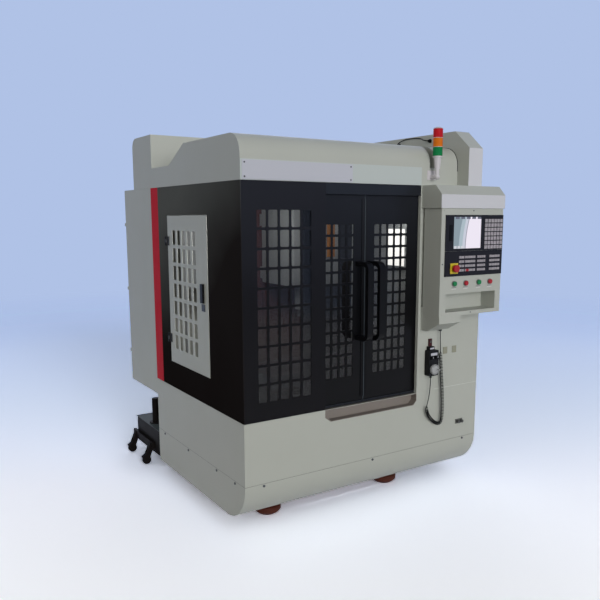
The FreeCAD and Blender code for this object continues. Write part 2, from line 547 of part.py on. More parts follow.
# ---------------------------------------------------------------- side access door
def make_access_door():
    body = new_body("access_door")
    pad(body, "face", "YZ_Plane", "-access_proud",
        rectangle("access_y", "access_low", "access_end_y", "access_high"),
        "access_proud + access_deep")
    pocket(body, "folds", "YZ_Plane", "sheet - access_proud",
           rectangle("access_y + sheet", "access_low + sheet", "access_end_y - sheet",
                     "access_high - sheet"), "access_proud + access_deep")
    lattice(body, "YZ_Plane", "0",
            ("access_cell_y", "access_cell_z", "access_cell_wide", "access_cell_tall",
             "access_cell_round"),
            ("access_pitch_y", "access_pitch_z"), ("access_columns", "access_rows"))
    leaves = []
    for place in ("low", "high"):
        leaves.append(box(f"moving_leaf_{place}", "-access_proud - leaf_thick",
                          "access_end_y - leaf_wide", f"knuckle_{place}_z", "leaf_thick",
                          "leaf_wide", "knuckle_tall"))
        leaves.append(box(f"leaf_arm_{place}", "-knuckle_x", "access_end_y - leaf_thick",
                          f"knuckle_{place}_z", "knuckle_x - access_proud", "leaf_thick",
                          "knuckle_tall"))
        leaves.append(rod(f"moving_knuckle_{place}", "z", "-knuckle_x", "knuckle_y",
                          f"knuckle_{place}_z + knuckle_tall/3 + reveal", "knuckle_radius",
                          "knuckle_tall/3 - 2*reveal"))
    lock = box("lock", "-access_proud - leaf_thick", "latch_y - lock_wide/2", "lock_low",
               "leaf_thick", "lock_wide", "lock_high - lock_low")
    whole = fuse("access_door_hung", [body, lock] + leaves)
    slots = []
    for place in ("low", "high"):
        slots.append(rod(f"moving_pin_bore_{place}", "z", "-knuckle_x", "knuckle_y",
                         f"knuckle_{place}_z", "knuckle_radius/2", "knuckle_tall"))
        for part, lift in (("a", "0"), ("b", "2*knuckle_tall/3")):
            slots.append(rod(f"knuckle_room_{place}_{part}", "z", "-knuckle_x", "knuckle_y",
                             f"knuckle_{place}_z + {lift} - reveal",
                             "knuckle_radius + reveal", "knuckle_tall/3 + 2*reveal"))
    slots.append(rod("latch_bore", "x", "-fold", "latch_y", "latch_z",
                     "latch_shaft + rail_clear", "2*fold"))
    node(cut("access_door_done", whole, slots), "access_door")
    fixed = []
    for place in ("low", "high"):
        fixed.append(box(f"fixed_leaf_{place}", "-leaf_thick",
                         "knuckle_y + knuckle_radius/2", f"knuckle_{place}_z", "leaf_thick",
                         "leaf_wide", "knuckle_tall"))
        for part, lift in (("a", "0"), ("b", "2*knuckle_tall/3")):
            fixed.append(rod(f"fixed_knuckle_{place}_{part}", "z", "-knuckle_x", "knuckle_y",
                             f"knuckle_{place}_z + {lift}", "knuckle_radius",
                             "knuckle_tall/3"))
            fixed.append(box(f"fixed_arm_{place}_{part}", "-knuckle_x",
                             "knuckle_y + knuckle_radius/2", f"knuckle_{place}_z + {lift}",
                             "knuckle_x", "knuckle_radius/2", "knuckle_tall/3"))
        fixed.append(rod(f"fixed_pin_{place}", "z", "-knuckle_x", "knuckle_y",
                         f"knuckle_{place}_z", "knuckle_radius/2 - rail_clear/2",
                         "knuckle_tall"))
    node(fuse("hinges", fixed), "access_hinges")
    plate = box("latch_plate", "-access_proud - latch_thick - latch_gap",
                "latch_y - latch_wide/2", "latch_z - latch_tall/2", "latch_thick",
                "latch_wide", "latch_tall")
    shaft = rod("latch_shaft_rod", "x", "-access_proud - latch_gap - 1", "latch_y", "latch_z",
                "latch_shaft", "access_deep + latch_gap + 1 + reveal + leaf_thick")
    cam = box("latch_cam", "access_deep - access_proud + reveal", "latch_y - latch_wide/2",
              "latch_z - latch_wide/2", "leaf_thick", "latch_wide", "latch_wide")
    node(fuse("latch", [plate, shaft, cam]), "access_latch")


# ---------------------------------------------------------------- hood and rear
def hood_outline(wall):
    """Side profile of the hood, closed below its foot when hollowed."""
    foot = "black_top + reveal" if wall == "0" else "black_top - 2*fold"
    return [(wall, foot), (wall, f"hood_top - {wall}"), ("hood_flat_y", f"hood_top - {wall}"),
            ("hood_step_y", f"hood_step - {wall}"),
            (f"hood_back_y - {wall}", f"hood_step - {wall}"), (f"hood_back_y - {wall}", foot)]


def hood_block(name, x_low, long, wall, radius):
    """The hood's outside, or its inside when given a wall."""
    body = new_body(name)
    block = pad(body, "block", "YZ_Plane", x_low, hood_outline(wall), long)
    front = amount(f"front + {wall}") + 1
    top = amount(f"hood_top - {wall}") - 1
    round_edges(body, "brow", block, radius,
                lambda e: along(e, "x") and middle(e).y < front and middle(e).z > top)
    return body


def make_hood(name, x_low, x_high):
    outside = hood_block(f"{name}_outside", x_low, f"{x_high} - {x_low}", "0", "hood_round")
    inside = hood_block(f"{name}_inside", f"{x_low} + sheet",
                        f"{x_high} - {x_low} - 2*sheet", "sheet", "hood_round - sheet")
    return cut(name, outside, [inside])


def make_hoods():
    main = make_hood("main_hood_shell", "0", "main_hood_wide")
    band = box("band", "0", "-band_proud", "black_top + reveal", "black_wide", "band_proud",
               "band_top - black_top - reveal")
    node(fuse("main_hood_banded", [main, band]), "main_hood")
    right = make_hood("right_hood_shell", "right_hood_x", "right_hood_end")
    bridge = box("bridge", "main_hood_wide + reveal", "0", "black_top + reveal",
                 "right_hood_x - main_hood_wide", "sheet", "bridge_top - black_top")
    ledge = box("bridge_ledge", "main_hood_wide + reveal", "0", "bridge_top",
                "right_hood_x - main_hood_wide", "hood_back_y", "sheet")
    node(fuse("right_hood_bridged", [right, bridge, ledge]), "right_hood")


def make_sign():
    plate = box("plate", "sign_x", "-band_proud - reveal - sign_thick", "sign_low",
                "sign_wide", "sign_thick", "sign_tall")
    screws = []
    for i, x in enumerate(("sign_x + screw_inset", "sign_x + sign_wide - screw_inset")):
        for j, z in enumerate(("sign_low + screw_inset", "sign_low + sign_tall - screw_inset")):
            screws.append(rod(f"sign_screw_{i}{j}", "y", x, "-band_proud - reveal", z,
                              "screw_radius", "sign_thick + screw_proud"))
    node(fuse("sign", [plate] + screws), "sign_plate")


def make_rear():
    body = new_body("rear_top_box")
    shell = pad(body, "shell", "YZ_Plane", "0",
                rectangle("hood_back_y + reveal", "black_top + reveal", "box_back_y",
                          "box_top"), "right_hood_end")
    back = amount("front + box_back_y") - 1
    top = amount("box_top") - 1
    round_edges(body, "shoulder", shell, "box_round",
                lambda e: along(e, "x") and middle(e).y > back and middle(e).z > top)
    inside = [("hood_back_y + reveal + sheet", "black_top - fold"),
              ("box_back_y - sheet", "black_top - fold"),
              ("box_back_y - sheet", "box_top - box_round"),
              ("box_back_y - box_round", "box_top - sheet"),
              ("hood_back_y + reveal + sheet", "box_top - sheet")]
    pocket(body, "inside", "YZ_Plane", "sheet", inside, "right_hood_end - 2*sheet")
    node(body, "rear_top_box")

    cabinet = new_body("cabinet_shell")
    pad(cabinet, "shell", "XZ_Plane", "body_deep + reveal",
        rectangle("0", "cabinet_low", "body_wide", "black_top"),
        "cabinet_back_y - body_deep - reveal")
    pocket(cabinet, "inside", "XZ_Plane", "body_deep + reveal + sheet",
           rectangle("sheet", "cabinet_low + sheet", "body_wide - sheet",
                     "black_top - sheet"), "cabinet_back_y - body_deep")
    frame = cut("cabinet_frame", box("frame_slab", "sheet", "cabinet_back_y - sheet",
                                     "cabinet_low", "body_wide - 2*sheet", "sheet",
                                     "black_top - cabinet_low"),
                [box("frame_hole_a", "cabinet_border", "cabinet_back_y - fold",
                     "cabinet_low + cabinet_border", "body_wide/2 - 1.5*cabinet_border",
                     "2*fold", "black_top - cabinet_low - 2*cabinet_border"),
                 box("frame_hole_b", "body_wide/2 + cabinet_border/2",
                     "cabinet_back_y - fold", "cabinet_low + cabinet_border",
                     "body_wide/2 - 1.5*cabinet_border", "2*fold",
                     "black_top - cabinet_low - 2*cabinet_border")])
    inside = [box("backplate", "cabinet_border", "body_deep + backplate_gap",
                  "cabinet_low + cabinet_border", "body_wide - 2*cabinet_border",
                  "backplate_thick", "black_top - cabinet_low - 2*cabinet_border")]
    for i in range(2):
        inside.append(box(f"stand_off_{i}", f"cabinet_border + {i}*(body_wide/2)",
                          "body_deep + reveal", "cabinet_low + cabinet_border", "fold",
                          "backplate_gap", "fold"))
    for i in range(int(SIZES["module_count"])):
        inside.append(box(f"module_{i}", f"module_x + {i}*module_pitch",
                          "body_deep + backplate_gap", "module_z", "module_wide",
                          "module_deep", "module_tall"))
    hinges = []
    for side, x in (("a", "rear_knuckle"), ("b", "body_wide - rear_knuckle")):
        for i in range(3):
            hinges.append(rod(f"rear_pin_{side}{i}", "z", x,
                              "cabinet_back_y + cabinet_door_deep + rear_knuckle",
                              f"cabinet_low + (2*{i} + 1)*(black_top - cabinet_low)/6 - fold",
                              "rear_knuckle - spare/2", "fold"))
            hinges.append(box(f"rear_arm_{side}{i}",
                              "0" if side == "a" else "body_wide - sheet",
                              "cabinet_back_y - sheet",
                              f"cabinet_low + (2*{i} + 1)*(black_top - cabinet_low)/6 - fold",
                              "sheet", "cabinet_door_deep + rear_knuckle + sheet", "fold"))
    node(fuse("cabinet", [cabinet, frame] + inside + hinges), "cabinet_shell")
    for side, x, latch in (("left", "2*sheet", "body_wide/2 - cabinet_border"),
                           ("right", "body_wide/2 + reveal",
                            "body_wide/2 + cabinet_border - rear_latch_wide")):
        pan = new_body(f"cabinet_door_{side}_pan")
        pad(pan, "face", "XZ_Plane", "cabinet_back_y + reveal",
            rectangle(x, "cabinet_low + spare", f"{x} + body_wide/2 - 2*sheet - reveal",
                      "black_top - spare"), "cabinet_door_deep - reveal")
        pocket(pan, "folds", "XZ_Plane", "cabinet_back_y - fold",
               rectangle(f"{x} + sheet", "cabinet_low + spare + sheet",
                         f"{x} + body_wide/2 - 3*sheet - reveal",
                         "black_top - spare - sheet"),
               "fold + cabinet_door_deep - sheet")
        latch_bar = box(f"rear_latch_{side}", latch, "cabinet_back_y + cabinet_door_deep",
                        "(cabinet_low + black_top - rear_latch_tall)/2", "rear_latch_wide",
                        "rear_latch_proud", "rear_latch_tall")
        node(fuse(f"cabinet_door_{side}_done", [pan, latch_bar]), f"cabinet_door_{side}")


def duct_block(name, x, long, wall, foot):
    """The duct's outside, or its inside when given a wall, fitted over the hood."""
    body = new_body(name)
    outline = [(f"{wall} - duct_proud", foot), (f"{wall} - duct_proud", "duct_face"),
               (f"duct_cant_y + {wall}/2", f"duct_top - {wall}"),
               (f"hood_back_y - seat + {wall}*fold", f"duct_top - {wall}"),
               (f"hood_back_y - seat + {wall}*fold", foot)]
    pad(body, "block", "YZ_Plane", x, outline, long)
    ground = hood_block(f"{name}_ground", "duct_x - fold", "duct_wide + 2*fold",
                        f"(-seat - {wall})", f"hood_round + seat + {wall}")
    rear = box(f"{name}_rear", "duct_x - fold", "hood_back_y - fold", foot,
               "duct_wide + 2*fold", "4*fold", f"hood_step + seat + {wall} - ({foot})")
    return cut(name, body, [ground, rear])


def make_duct():
    outside = duct_block("duct_outside", "duct_x", "duct_wide", "0", "duct_low")
    inside = duct_block("duct_inside", "duct_x + duct_wall", "duct_wide - 2*duct_wall",
                        "duct_wall", "duct_low - fold")
    node(cut("duct", outside, [inside]), "cable_duct")


BEND_SHARE = 0.45  # of the shorter run beside a corner, taken by its bend


def rounded_path(points):
    """Edges of straight runs joined by tangent arcs."""
    edges = []
    start = points[0]
    for before, corner, after in zip(points, points[1:], points[2:]):
        way_in = (corner - before).normalize()
        way_out = (after - corner).normalize()
        turn = way_in.getAngle(way_out)
        run = min((corner - before).Length, (after - corner).Length)
        back = BEND_SHARE * run
        radius = back / math.tan(turn / 2)
        first = corner - way_in * back
        last = corner + way_out * back
        bisector = (way_out - way_in).normalize()
        centre = corner + bisector * (radius / math.cos(turn / 2))
        mid = centre - bisector * radius
        edges.append(Part.LineSegment(start, first).toShape())
        edges.append(Part.Arc(first, mid, last).toShape())
        print(f"bend of {math.degrees(turn):.1f} degrees, radius {radius:.1f} mm")
        start = last
    edges.append(Part.LineSegment(start, points[-1]).toShape())
    return edges


def machine_point(x, y, z):
    return Vector(number(at("x", x)), number(at("y", y)), number(at("z", z)))


def swept(name, edges, radius):
    """A round tube along a chain of edges, checked against section times length."""
    wire = Part.Wire(edges)
    start = edges[0].valueAt(edges[0].FirstParameter)
    way = edges[0].tangentAt(edges[0].FirstParameter)
    section = Part.Wire([Part.Circle(start, way, radius).toShape()])
    shape = wire.makePipeShell([section], True, False)
    expected = math.pi * radius ** 2 * wire.Length
    print(f"{name}: length {wire.Length:.0f} mm, volume over section by length "
          f"{shape.Volume / expected:.4f}")
    item = doc.addObject("Part::Feature", name)
    item.Shape = shape
    return item


# where the lead touches the duct between its two glands, machine y and z
LEAD_POINTS = (("300", "2036"), ("343", "2044"), ("438", "2045"))


def make_duct_lead():
    nut = rod("gland_nut", "x", "duct_x - gland_proud/2", "gland_y", "gland_z", "gland_radius",
              "gland_proud/2 - rail_clear")
    dome = rod("gland_dome", "x", "duct_x - gland_proud", "gland_y", "gland_z",
               "gland_radius*2/3", "gland_proud - rail_clear")
    plug = rod("end_gland", "x", "duct_x - plug_proud", "plug_y", "plug_z", "plug_radius",
               "plug_proud - rail_clear")
    lie = "duct_x - lead_radius - rail_clear"
    out = "duct_x - gland_proud - lead_exit"
    path = [machine_point("duct_x - gland_proud/2", "gland_y", "gland_z"),
            machine_point(out, "gland_y", "gland_z"),
            machine_point(out, "gland_y + 2.5*lead_exit", "gland_z + lead_exit/2")]
    for y, z in LEAD_POINTS:
        path.append(machine_point(lie, y, z))
    path.append(machine_point("duct_x - plug_proud - lead_exit", "plug_y - 2*lead_exit",
                              "plug_z + lead_exit"))
    path.append(machine_point("duct_x - plug_proud - lead_exit", "plug_y", "plug_z"))
    path.append(machine_point("duct_x - plug_proud/2", "plug_y", "plug_z"))
    lead = swept("duct_lead_tube", rounded_path(path), SIZES["lead_radius"])
    node(fuse("lead_with_glands", [nut, dome, lead, plug]), "duct_lead")


# ---------------------------------------------------------------- control station
def panel_holes(prefix, level, deep):
    """Bores for the press buttons and the stop button."""
    holes = [rod(f"{prefix}_stop_bore", "y", "estop_x", level, "estop_z", "estop_bore", deep)]
    for i, x in enumerate(BUTTON_X):
        holes.append(rod(f"{prefix}_bore_{i}", "y", x, level, "button_z", "push_bore", deep))
    return holes


BUTTON_X = ("button_a_x", "button_b_x", "button_c_x", "button_d_x")


def make_control_box():
    body = new_body("control_shell")
    pad(body, "shell", "XZ_Plane", "fascia_thick - panel_proud",
        rectangle("panel_x", "panel_low", "panel_end_x", "panel_high"),
        "panel_proud - fascia_thick - panel_back")
    pocket(body, "inside", "XZ_Plane", "fascia_thick - panel_proud - fold",
           rectangle("panel_x + sheet", "panel_low + sheet", "panel_end_x - sheet",
                     "panel_high - sheet"),
           "fold + panel_proud - fascia_thick - panel_back - sheet")
    arm = new_body("bracket_arm")
    profile = [("-panel_proud", "panel_low"), ("-panel_proud", "bracket_nose"),
               ("-bracket_flat", "bracket_low"), ("-reveal", "bracket_low"),
               ("-reveal", "panel_low + 2*fold"), ("-panel_back", "panel_low + 2*fold"),
               ("-panel_back", "panel_low")]
    pad(arm, "arm", "YZ_Plane", "bracket_x", profile, "bracket_wide")
    spacer = box("back_spacer", "panel_x + 2*fold", "-panel_back", "panel_high - 4*fold",
                 "panel_end_x - panel_x - 4*fold", "panel_back - reveal", "2*fold")
    gland = rod("arm_gland", "z", "cord_gland_x", "-cord_y", "bracket_low - cord_gland_tall",
                "cord_gland_radius", "cord_gland_tall")
    node(fuse("control", [body, arm, spacer, gland]), "control_box")

    hood = new_body("control_hood")
    outline = [("-hood_proud", "panel_high + reveal"), ("-hood_proud", "hood_slope_z"),
               ("-hood_slope_y", "black_top"), ("-reveal", "black_top"),
               ("-reveal", "panel_high + reveal")]
    inside = [("sheet - hood_proud", "panel_high - fold"),
              ("sheet - hood_proud", "hood_slope_z - sheet/2"),
              ("sheet/2 - hood_slope_y", "black_top - sheet"),
              ("fold", "black_top - sheet"), ("fold", "panel_high - fold")]
    pad(hood, "shell", "YZ_Plane", "hood_x", outline, "hood_end_x - hood_x")
    pocket(hood, "inside", "YZ_Plane", "hood_x + sheet", inside,
           "hood_end_x - hood_x - 2*sheet")
    node(hood, "control_hood")

    face = box("fascia_sheet", "panel_x", "-panel_proud", "panel_low",
               "panel_end_x - panel_x", "fascia_thick - reveal", "panel_high - panel_low")
    recess = box("shelf_tub", "shelf_x - sheet", "-panel_proud", "shelf_low - sheet",
                 "shelf_end_x - shelf_x + 2*sheet", "shelf_deep + sheet",
                 "shelf_high - shelf_low + 2*sheet")
    room = box("shelf_room", "shelf_x", "-panel_proud - fold", "shelf_low",
               "shelf_end_x - shelf_x", "fold + shelf_deep", "shelf_high - shelf_low")
    window = box("screen_room", "screen_x - sheet", "-panel_proud - fold",
                 "screen_low - sheet", "screen_end_x - screen_x + 2*sheet", "2*fold",
                 "screen_high - screen_low + 2*sheet")
    screws = []
    for i, x in enumerate(("panel_x + screw_inset", "panel_end_x - screw_inset")):
        for j, z in enumerate(("panel_low + screw_inset", "lower_black_z - screw_inset",
                               "panel_high - screw_inset")):
            screws.append(rod(f"fascia_screw_{i}{j}", "y", x, "-panel_proud", z,
                              "screw_radius", "screw_proud"))
    solid = fuse("fascia_solid", [face, recess] + screws)
    done = cut("fascia", solid, [room, window] + panel_holes("fascia", "fold - panel_proud",
                                                             "2*fold"))
    node(done, "control_fascia")

    upper = box("bezel_slab", "black_x", "-panel_proud - black_thick",
                "split_z + split_gap", "black_end_x - black_x", "black_thick - reveal/5",
                "upper_black_z - split_z - split_gap")
    view = box("bezel_window", "screen_x", "-panel_proud - fold", "screen_low",
               "screen_end_x - screen_x", "2*fold", "screen_high - screen_low")
    flap = box("usb_flap", "usb_x", "-panel_proud - black_thick - flap_proud", "usb_low",
               "usb_end_x - usb_x", "flap_proud + 1", "usb_high - usb_low")
    node(fuse("bezel_flapped", [cut("bezel", upper, [view]), flap]), "cnc_bezel")
    node(box("screen", "screen_x + reveal", "screen_sunk - panel_proud - black_thick",
             "screen_low + reveal", "screen_end_x - screen_x - 2*reveal", "screen_thick",
             "screen_high - screen_low - 2*reveal"), "display_screen")
    lower = box("lower_slab", "black_x", "-panel_proud - black_thick", "lower_black_z",
                "black_end_x - black_x", "black_thick - reveal/5",
                "split_z - lower_black_z")
    stop_bore = rod("lower_stop_bore", "y", "estop_x", "fold - panel_proud", "estop_z",
                    "estop_bore", "3*fold")
    node(cut("lower_bored", lower, [stop_bore]), "operator_panel")


def make_keys():
    keys = []
    front = "-panel_proud - black_thick - key_proud"
    for row in range(int(SIZES["key_rows"])):
        for bank in "abcd":
            wide = f"keys_{bank}_wide"
            for i in range(int(SIZES[f"keys_{bank}_count"])):
                keys.append(box(f"key_{row}_{bank}_{i}",
                                f"keys_{bank}_x + {i}*({wide} + key_gap)", front,
                                f"keys_z + {row}*key_pitch - key_tall/2", wide,
                                "key_proud - reveal/5", "key_tall"))
    for row in range(int(SIZES["soft_rows"])):
        for i in range(int(SIZES["soft_columns"])):
            keys.append(box(f"soft_{row}_{i}", f"soft_x + {i}*soft_pitch", front,
                            f"soft_z + {row}*soft_pitch", "soft_size",
                            "key_proud - reveal/5", "soft_size"))
    node(group("keys", keys), "panel_keys")


def make_buttons():
    plate = box("stop_plate", "estop_x - estop_plate_half",
                "-panel_proud - black_thick - estop_plate_thick",
                "estop_z - estop_plate_half", "2*estop_plate_half",
                "estop_plate_thick - reveal/5", "2*estop_plate_half")
    bore = rod("plate_bore", "y", "estop_x", "-panel_proud", "estop_z", "estop_bore", "fold")
    rings = []
    for i, x in enumerate(BUTTON_X):
        ring = rod(f"ring_{i}", "y", x, "-panel_proud - reveal/5", "button_z", "ring_radius",
                   "ring_thick")
        hole = rod(f"ring_hole_{i}", "y", x, "fold - panel_proud", "button_z", "ring_bore",
                   "3*fold")
        rings.append(cut(f"ring_open_{i}", ring, [hole]))
        rings.append(box(f"tag_{i}", f"{x} - tag_wide/2", "-panel_proud - tag_thick",
                         "button_z - tag_drop", "tag_wide", "tag_thick - reveal/5",
                         "tag_tall"))
    node(group("stop_plate_and_rings", [cut("stop_plate_bored", plate, [bore])] + rings),
         "button_plates")
    top = "-panel_proud - black_thick - estop_plate_thick - estop_press - reveal"
    cap = rod("mushroom", "y", "estop_x", top, "estop_z", "mushroom_radius", "mushroom_thick")
    stem = rod("stop_stem", "y", "estop_x", f"{top} + stem_long", "estop_z", "stem_radius",
               "stem_long + 1")
    node(fuse("stop", [cap, stem]), "estop_button")
    for i, x in enumerate(BUTTON_X):
        rest = "-panel_proud - button_press - reveal"
        cap = rod(f"push_cap_{i}", "y", x, rest, "button_z", "button_radius", "button_thick")
        shaft = rod(f"push_shaft_{i}", "y", x, f"{rest} + push_shaft_long", "button_z",
                    "push_shaft", "push_shaft_long + 1")
        node(fuse(f"push_{i}", [cap, shaft]), f"push_button_{i + 1}")


# radius of the ball that rounds the top of the signal tower
DOME = "((lens_radius^2 + dome_tall^2)/(2*dome_tall))"


def make_tower():
    x, y = "tower_x", "tower_y"
    foot = box("tower_foot", "tower_x - 2*elbow_radius", "-seat - sheet", "elbow_low",
               "4*elbow_radius", "sheet", "2*elbow_radius + fold")
    arm = rod("tower_arm", "y", x, "-seat", "elbow_low + elbow_radius", "pole_radius",
              "-tower_y - seat")
    elbow = doc.addObject("Part::Sphere", "tower_elbow")
    bind(elbow, "Radius", "elbow_radius")
    stand(elbow, x, y, "elbow_low + elbow_radius")
    pole = rod("tower_pole", "z", x, y, "pole_low", "pole_radius",
               "green_z - collar_tall - pole_low + 1")
    cup = doc.addObject("Part::Cone", "tower_cup")
    bind(cup, "Radius1", "cup_radius")
    bind(cup, "Radius2", "cup_top_radius")
    bind(cup, "Height", "green_z - collar_tall - cup_low")
    stand(cup, x, y, "cup_low")
    collar = rod("tower_collar", "z", x, y, "green_z - collar_tall", "lens_radius",
                 "collar_tall - lens_gap")
    post = rod("tower_post", "z", x, y, "green_z - collar_tall", "post_radius",
               "red_z + lens_tall - green_z + collar_tall + dome_tall/2")
    discs = []
    for colour, z in (("low", "amber_z"), ("high", "red_z")):
        discs.append(rod(f"disc_{colour}", "z", x, y, f"{z} - disc_tall + lens_gap",
                         "lens_radius + 1", "disc_tall - 2*lens_gap"))
    crown = rod("tower_crown", "z", x, y, "red_z + lens_tall + lens_gap", "lens_radius",
                "2*dome_tall")
    ball = doc.addObject("Part::Sphere", "tower_ball")
    bind(ball, "Radius", DOME)
    stand(ball, x, y, f"red_z + lens_tall + lens_gap + dome_tall - {DOME}")
    dome = doc.addObject("Part::Common", "tower_dome")
    dome.Base = crown
    dome.Tool = ball
    node(fuse("tower", [foot, arm, elbow, pole, cup, collar, post, dome] + discs),
         "tower_stand")
    for colour, z in (("green", "green_z"), ("amber", "amber_z"), ("red", "red_z")):
        drum = rod(f"{colour}_drum", "z", x, y, z, "lens_radius", "lens_tall")
        core = rod(f"{colour}_core", "z", x, y, f"{z} - fold", "post_radius + rail_clear",
                   "lens_tall + 2*fold")
        node(cut(f"{colour}_lens", drum, [core]), f"lens_{colour}")


def make_pendant():
    case = new_body("pendant_case")
    slab = pad(case, "case", "XZ_Plane", "-pendant_gap - pendant_deep",
               rectangle("pendant_x", "pendant_low", "pendant_x + pendant_wide",
                         "pendant_low + pendant_tall"), "pendant_deep")
    round_edges(case, "soft_corners", slab, "knuckle_radius", lambda e: along(e, "y"))
    boot = rod("cord_boot", "z", "cord_entry", "-cord_y", "pendant_low - cord_gland_tall",
               "cord_gland_radius*2/3", "cord_gland_tall")
    hanger = box("hanger", "pendant_x + pendant_wide/2 - hanger_wide/2",
                 "-pendant_gap - hanger_thick", "pendant_low + pendant_tall - fold",
                 "hanger_wide", "hanger_thick", "hanger_tall + fold")
    cap = box("pendant_cap", "pendant_x + cap_inset", "-pendant_gap - cap_deep",
              "pendant_low + pendant_tall - 1", "cap_wide", "cap_deep", "cap_tall + 1")
    label = box("knob_label", "label_x", "-pendant_gap - pendant_deep - label_thick",
                "label_z", "label_wide", "label_thick + 1", "label_tall")
    peg_hole = rod("peg_hole", "y", "wheel_x", "fold",
                   "pendant_low + pendant_tall + peg_rise",
                   "knuckle_radius + reveal", "4*fold")
    face = "-pendant_gap - pendant_deep"
    bores = [peg_hole]
    spots = {"wheel": ("wheel_x", "wheel_z"),
             "axis_knob": ("wheel_x - knob_off", "knob_z"),
             "range_knob": ("wheel_x + knob_off", "knob_z")}
    for name, (x, z) in spots.items():
        bores.append(rod(f"{name}_bore", "y", x, f"{face} + axle_long", z, "axle_bore",
                         "2*axle_long"))
    whole = fuse("pendant_solid", [case, boot, hanger, cap, label])
    node(cut("pendant", whole, bores), "pendant_body")
    turned = f"{face} - wheel_gap"
    rim = rod("wheel_rim", "y", "wheel_x", turned, "wheel_z", "wheel_radius", "wheel_thick")
    axle = rod("wheel_axle", "y", "wheel_x", f"{turned} + axle_long", "wheel_z",
               "axle_radius", "axle_long + 1")
    crank = rod("wheel_crank", "y", "wheel_x + crank_off", f"{turned} - wheel_thick + 1",
                "wheel_z", "crank_radius", "crank_long")
    dish = rod("wheel_dish", "y", "wheel_x", f"{turned} - wheel_thick + dish_deep", "wheel_z",
               "dish_radius", "fold")
    node(fuse("wheel", [cut("wheel_dished", rim, [dish]), axle, crank]), "handwheel")
    for name in ("axis_knob", "range_knob"):
        x, z = spots[name]
        drum = rod(f"{name}_drum", "y", x, turned, z, "knob_radius", "knob_thick")
        pin = rod(f"{name}_pin", "y", x, f"{turned} + axle_long", z, "axle_radius",
                  "axle_long + 1")
        mark = box(f"{name}_mark", f"{x} - mark_wide/2", f"{turned} - knob_thick - 1", z,
                   "mark_wide", "knob_thick/2", "knob_radius")
        node(fuse(f"{name}_whole", [drum, pin, mark]), name)
    peg = rod("hanger_peg", "y", "wheel_x", "-rail_clear",
              "pendant_low + pendant_tall + peg_rise", "knuckle_radius",
              "pendant_gap + hanger_thick + 4")
    plates = [peg]
    for place in ("a", "b"):
        plates.append(box(f"wall_plate_{place}", f"plate_{place}_x",
                          "-plate_thick - rail_clear", "plate_z", "plate_wide",
                          "plate_thick", "plate_tall"))
    plates.append(box("fitting_block", "fitting_x", "-plate_thick - rail_clear",
                      "fitting_z", "fitting_wide", "plate_thick", "fitting_tall"))
    plates.append(rod("fitting_spout_a", "y", "fitting_x + fitting_wide/4",
                      "-plate_thick - rail_clear", "fitting_z + fitting_tall/2",
                      "fitting_tall/3", "fitting_thick"))
    plates.append(rod("fitting_spout_b", "y", "fitting_x + 3*fitting_wide/4",
                      "-plate_thick - rail_clear", "fitting_z + fitting_tall/2",
                      "fitting_tall/3", "fitting_thick"))
    node(group("wall_fittings", [plates[0], plates[1], plates[2],
                                 fuse("fitting", plates[3:])]), "panel_fittings")


# ---------------------------------------------------------------- curly cord
# corners of the cord's hanging line, machine x and z, from the arm's gland to the pendant
CORD_CORNERS = ((1240, 946), (1240, 870), (1284, 434), (1240, 388), (1138, 484), (1175, 590),
                (1175, 682))
CURLS = 70
RAMP = 4  # curls over which the coil opens to its full size
CURL_FIRST_EDGE = 2  # the curls start with this edge of the line
CURL_LAST_EDGE = 8  # and stop where this one starts


def cord_line():
    """Lengths, points and ways of the hanging line, sampled as lines and arcs."""
    flat = [machine_point(str(x), "-cord_y", str(z)) for x, z in CORD_CORNERS]
    edges = rounded_path(flat)
    spots = []
    travelled = 0
    for edge in edges:
        spots.append((travelled, edge))
        travelled += edge.Length
    return spots, travelled


def on_line(spots, distance):
    """Point and way at a distance along the line."""
    start, edge = next(pair for pair in reversed(spots) if pair[0] <= distance + 1e-9)
    parameter = edge.getParameterByLength(min(distance - start, edge.Length))
    return edge.valueAt(parameter), edge.tangentAt(parameter)


def curl_point(spots, distance, first, last):
    """A point of the wire's centre: round the line between first and last."""
    point, way = on_line(spots, distance)
    turns = CURLS * (distance - first) / (last - first)
    ramp = max(0, min(1, turns / RAMP, (CURLS - turns) / RAMP))
    radius = SIZES["curl_radius"] * ramp * ramp * (3 - 2 * ramp)
    side = Vector(0, 1, 0)
    normal = way.cross(side)
    angle = 2 * math.pi * turns
    return point + (normal * math.cos(angle) + side * math.sin(angle)) * radius


def biarc(start, way_in, end, way_out):
    """Two arcs that leave and reach the points along the given ways."""
    chord = end - start
    both = way_in + way_out
    a = 2 * (1 - way_in.dot(way_out))
    b = 2 * chord.dot(both)
    c = -chord.dot(chord)
    if abs(a) < 1e-9:
        reach = -c / b
    else:
        reach = (-b + math.sqrt(b * b - 4 * a * c)) / (2 * a)
    joint = (start + end + (way_in - way_out) * reach) * 0.5
    return [arc_from(start, way_in, joint), arc_from(joint, None, end, way_out)]


def arc_from(start, way_in, end, way_out=None):
    """An arc given one end's way; a straight line where it doesn't bend."""
    chord = end - start
    way = way_in if way_in else way_out
    along_chord = Vector(chord).normalize()
    sine = way.cross(along_chord).Length
    if sine < 1e-5:
        return Part.LineSegment(start, end).toShape()
    across = (way - along_chord * way.dot(along_chord)).normalize()
    half_angle = math.asin(min(1, sine))
    sag = chord.Length / 2 * math.tan(half_angle / 2)
    bulge = across * sag if way_in else across * -sag
    return Part.Arc(start, (start + end) * 0.5 + bulge, end).toShape()


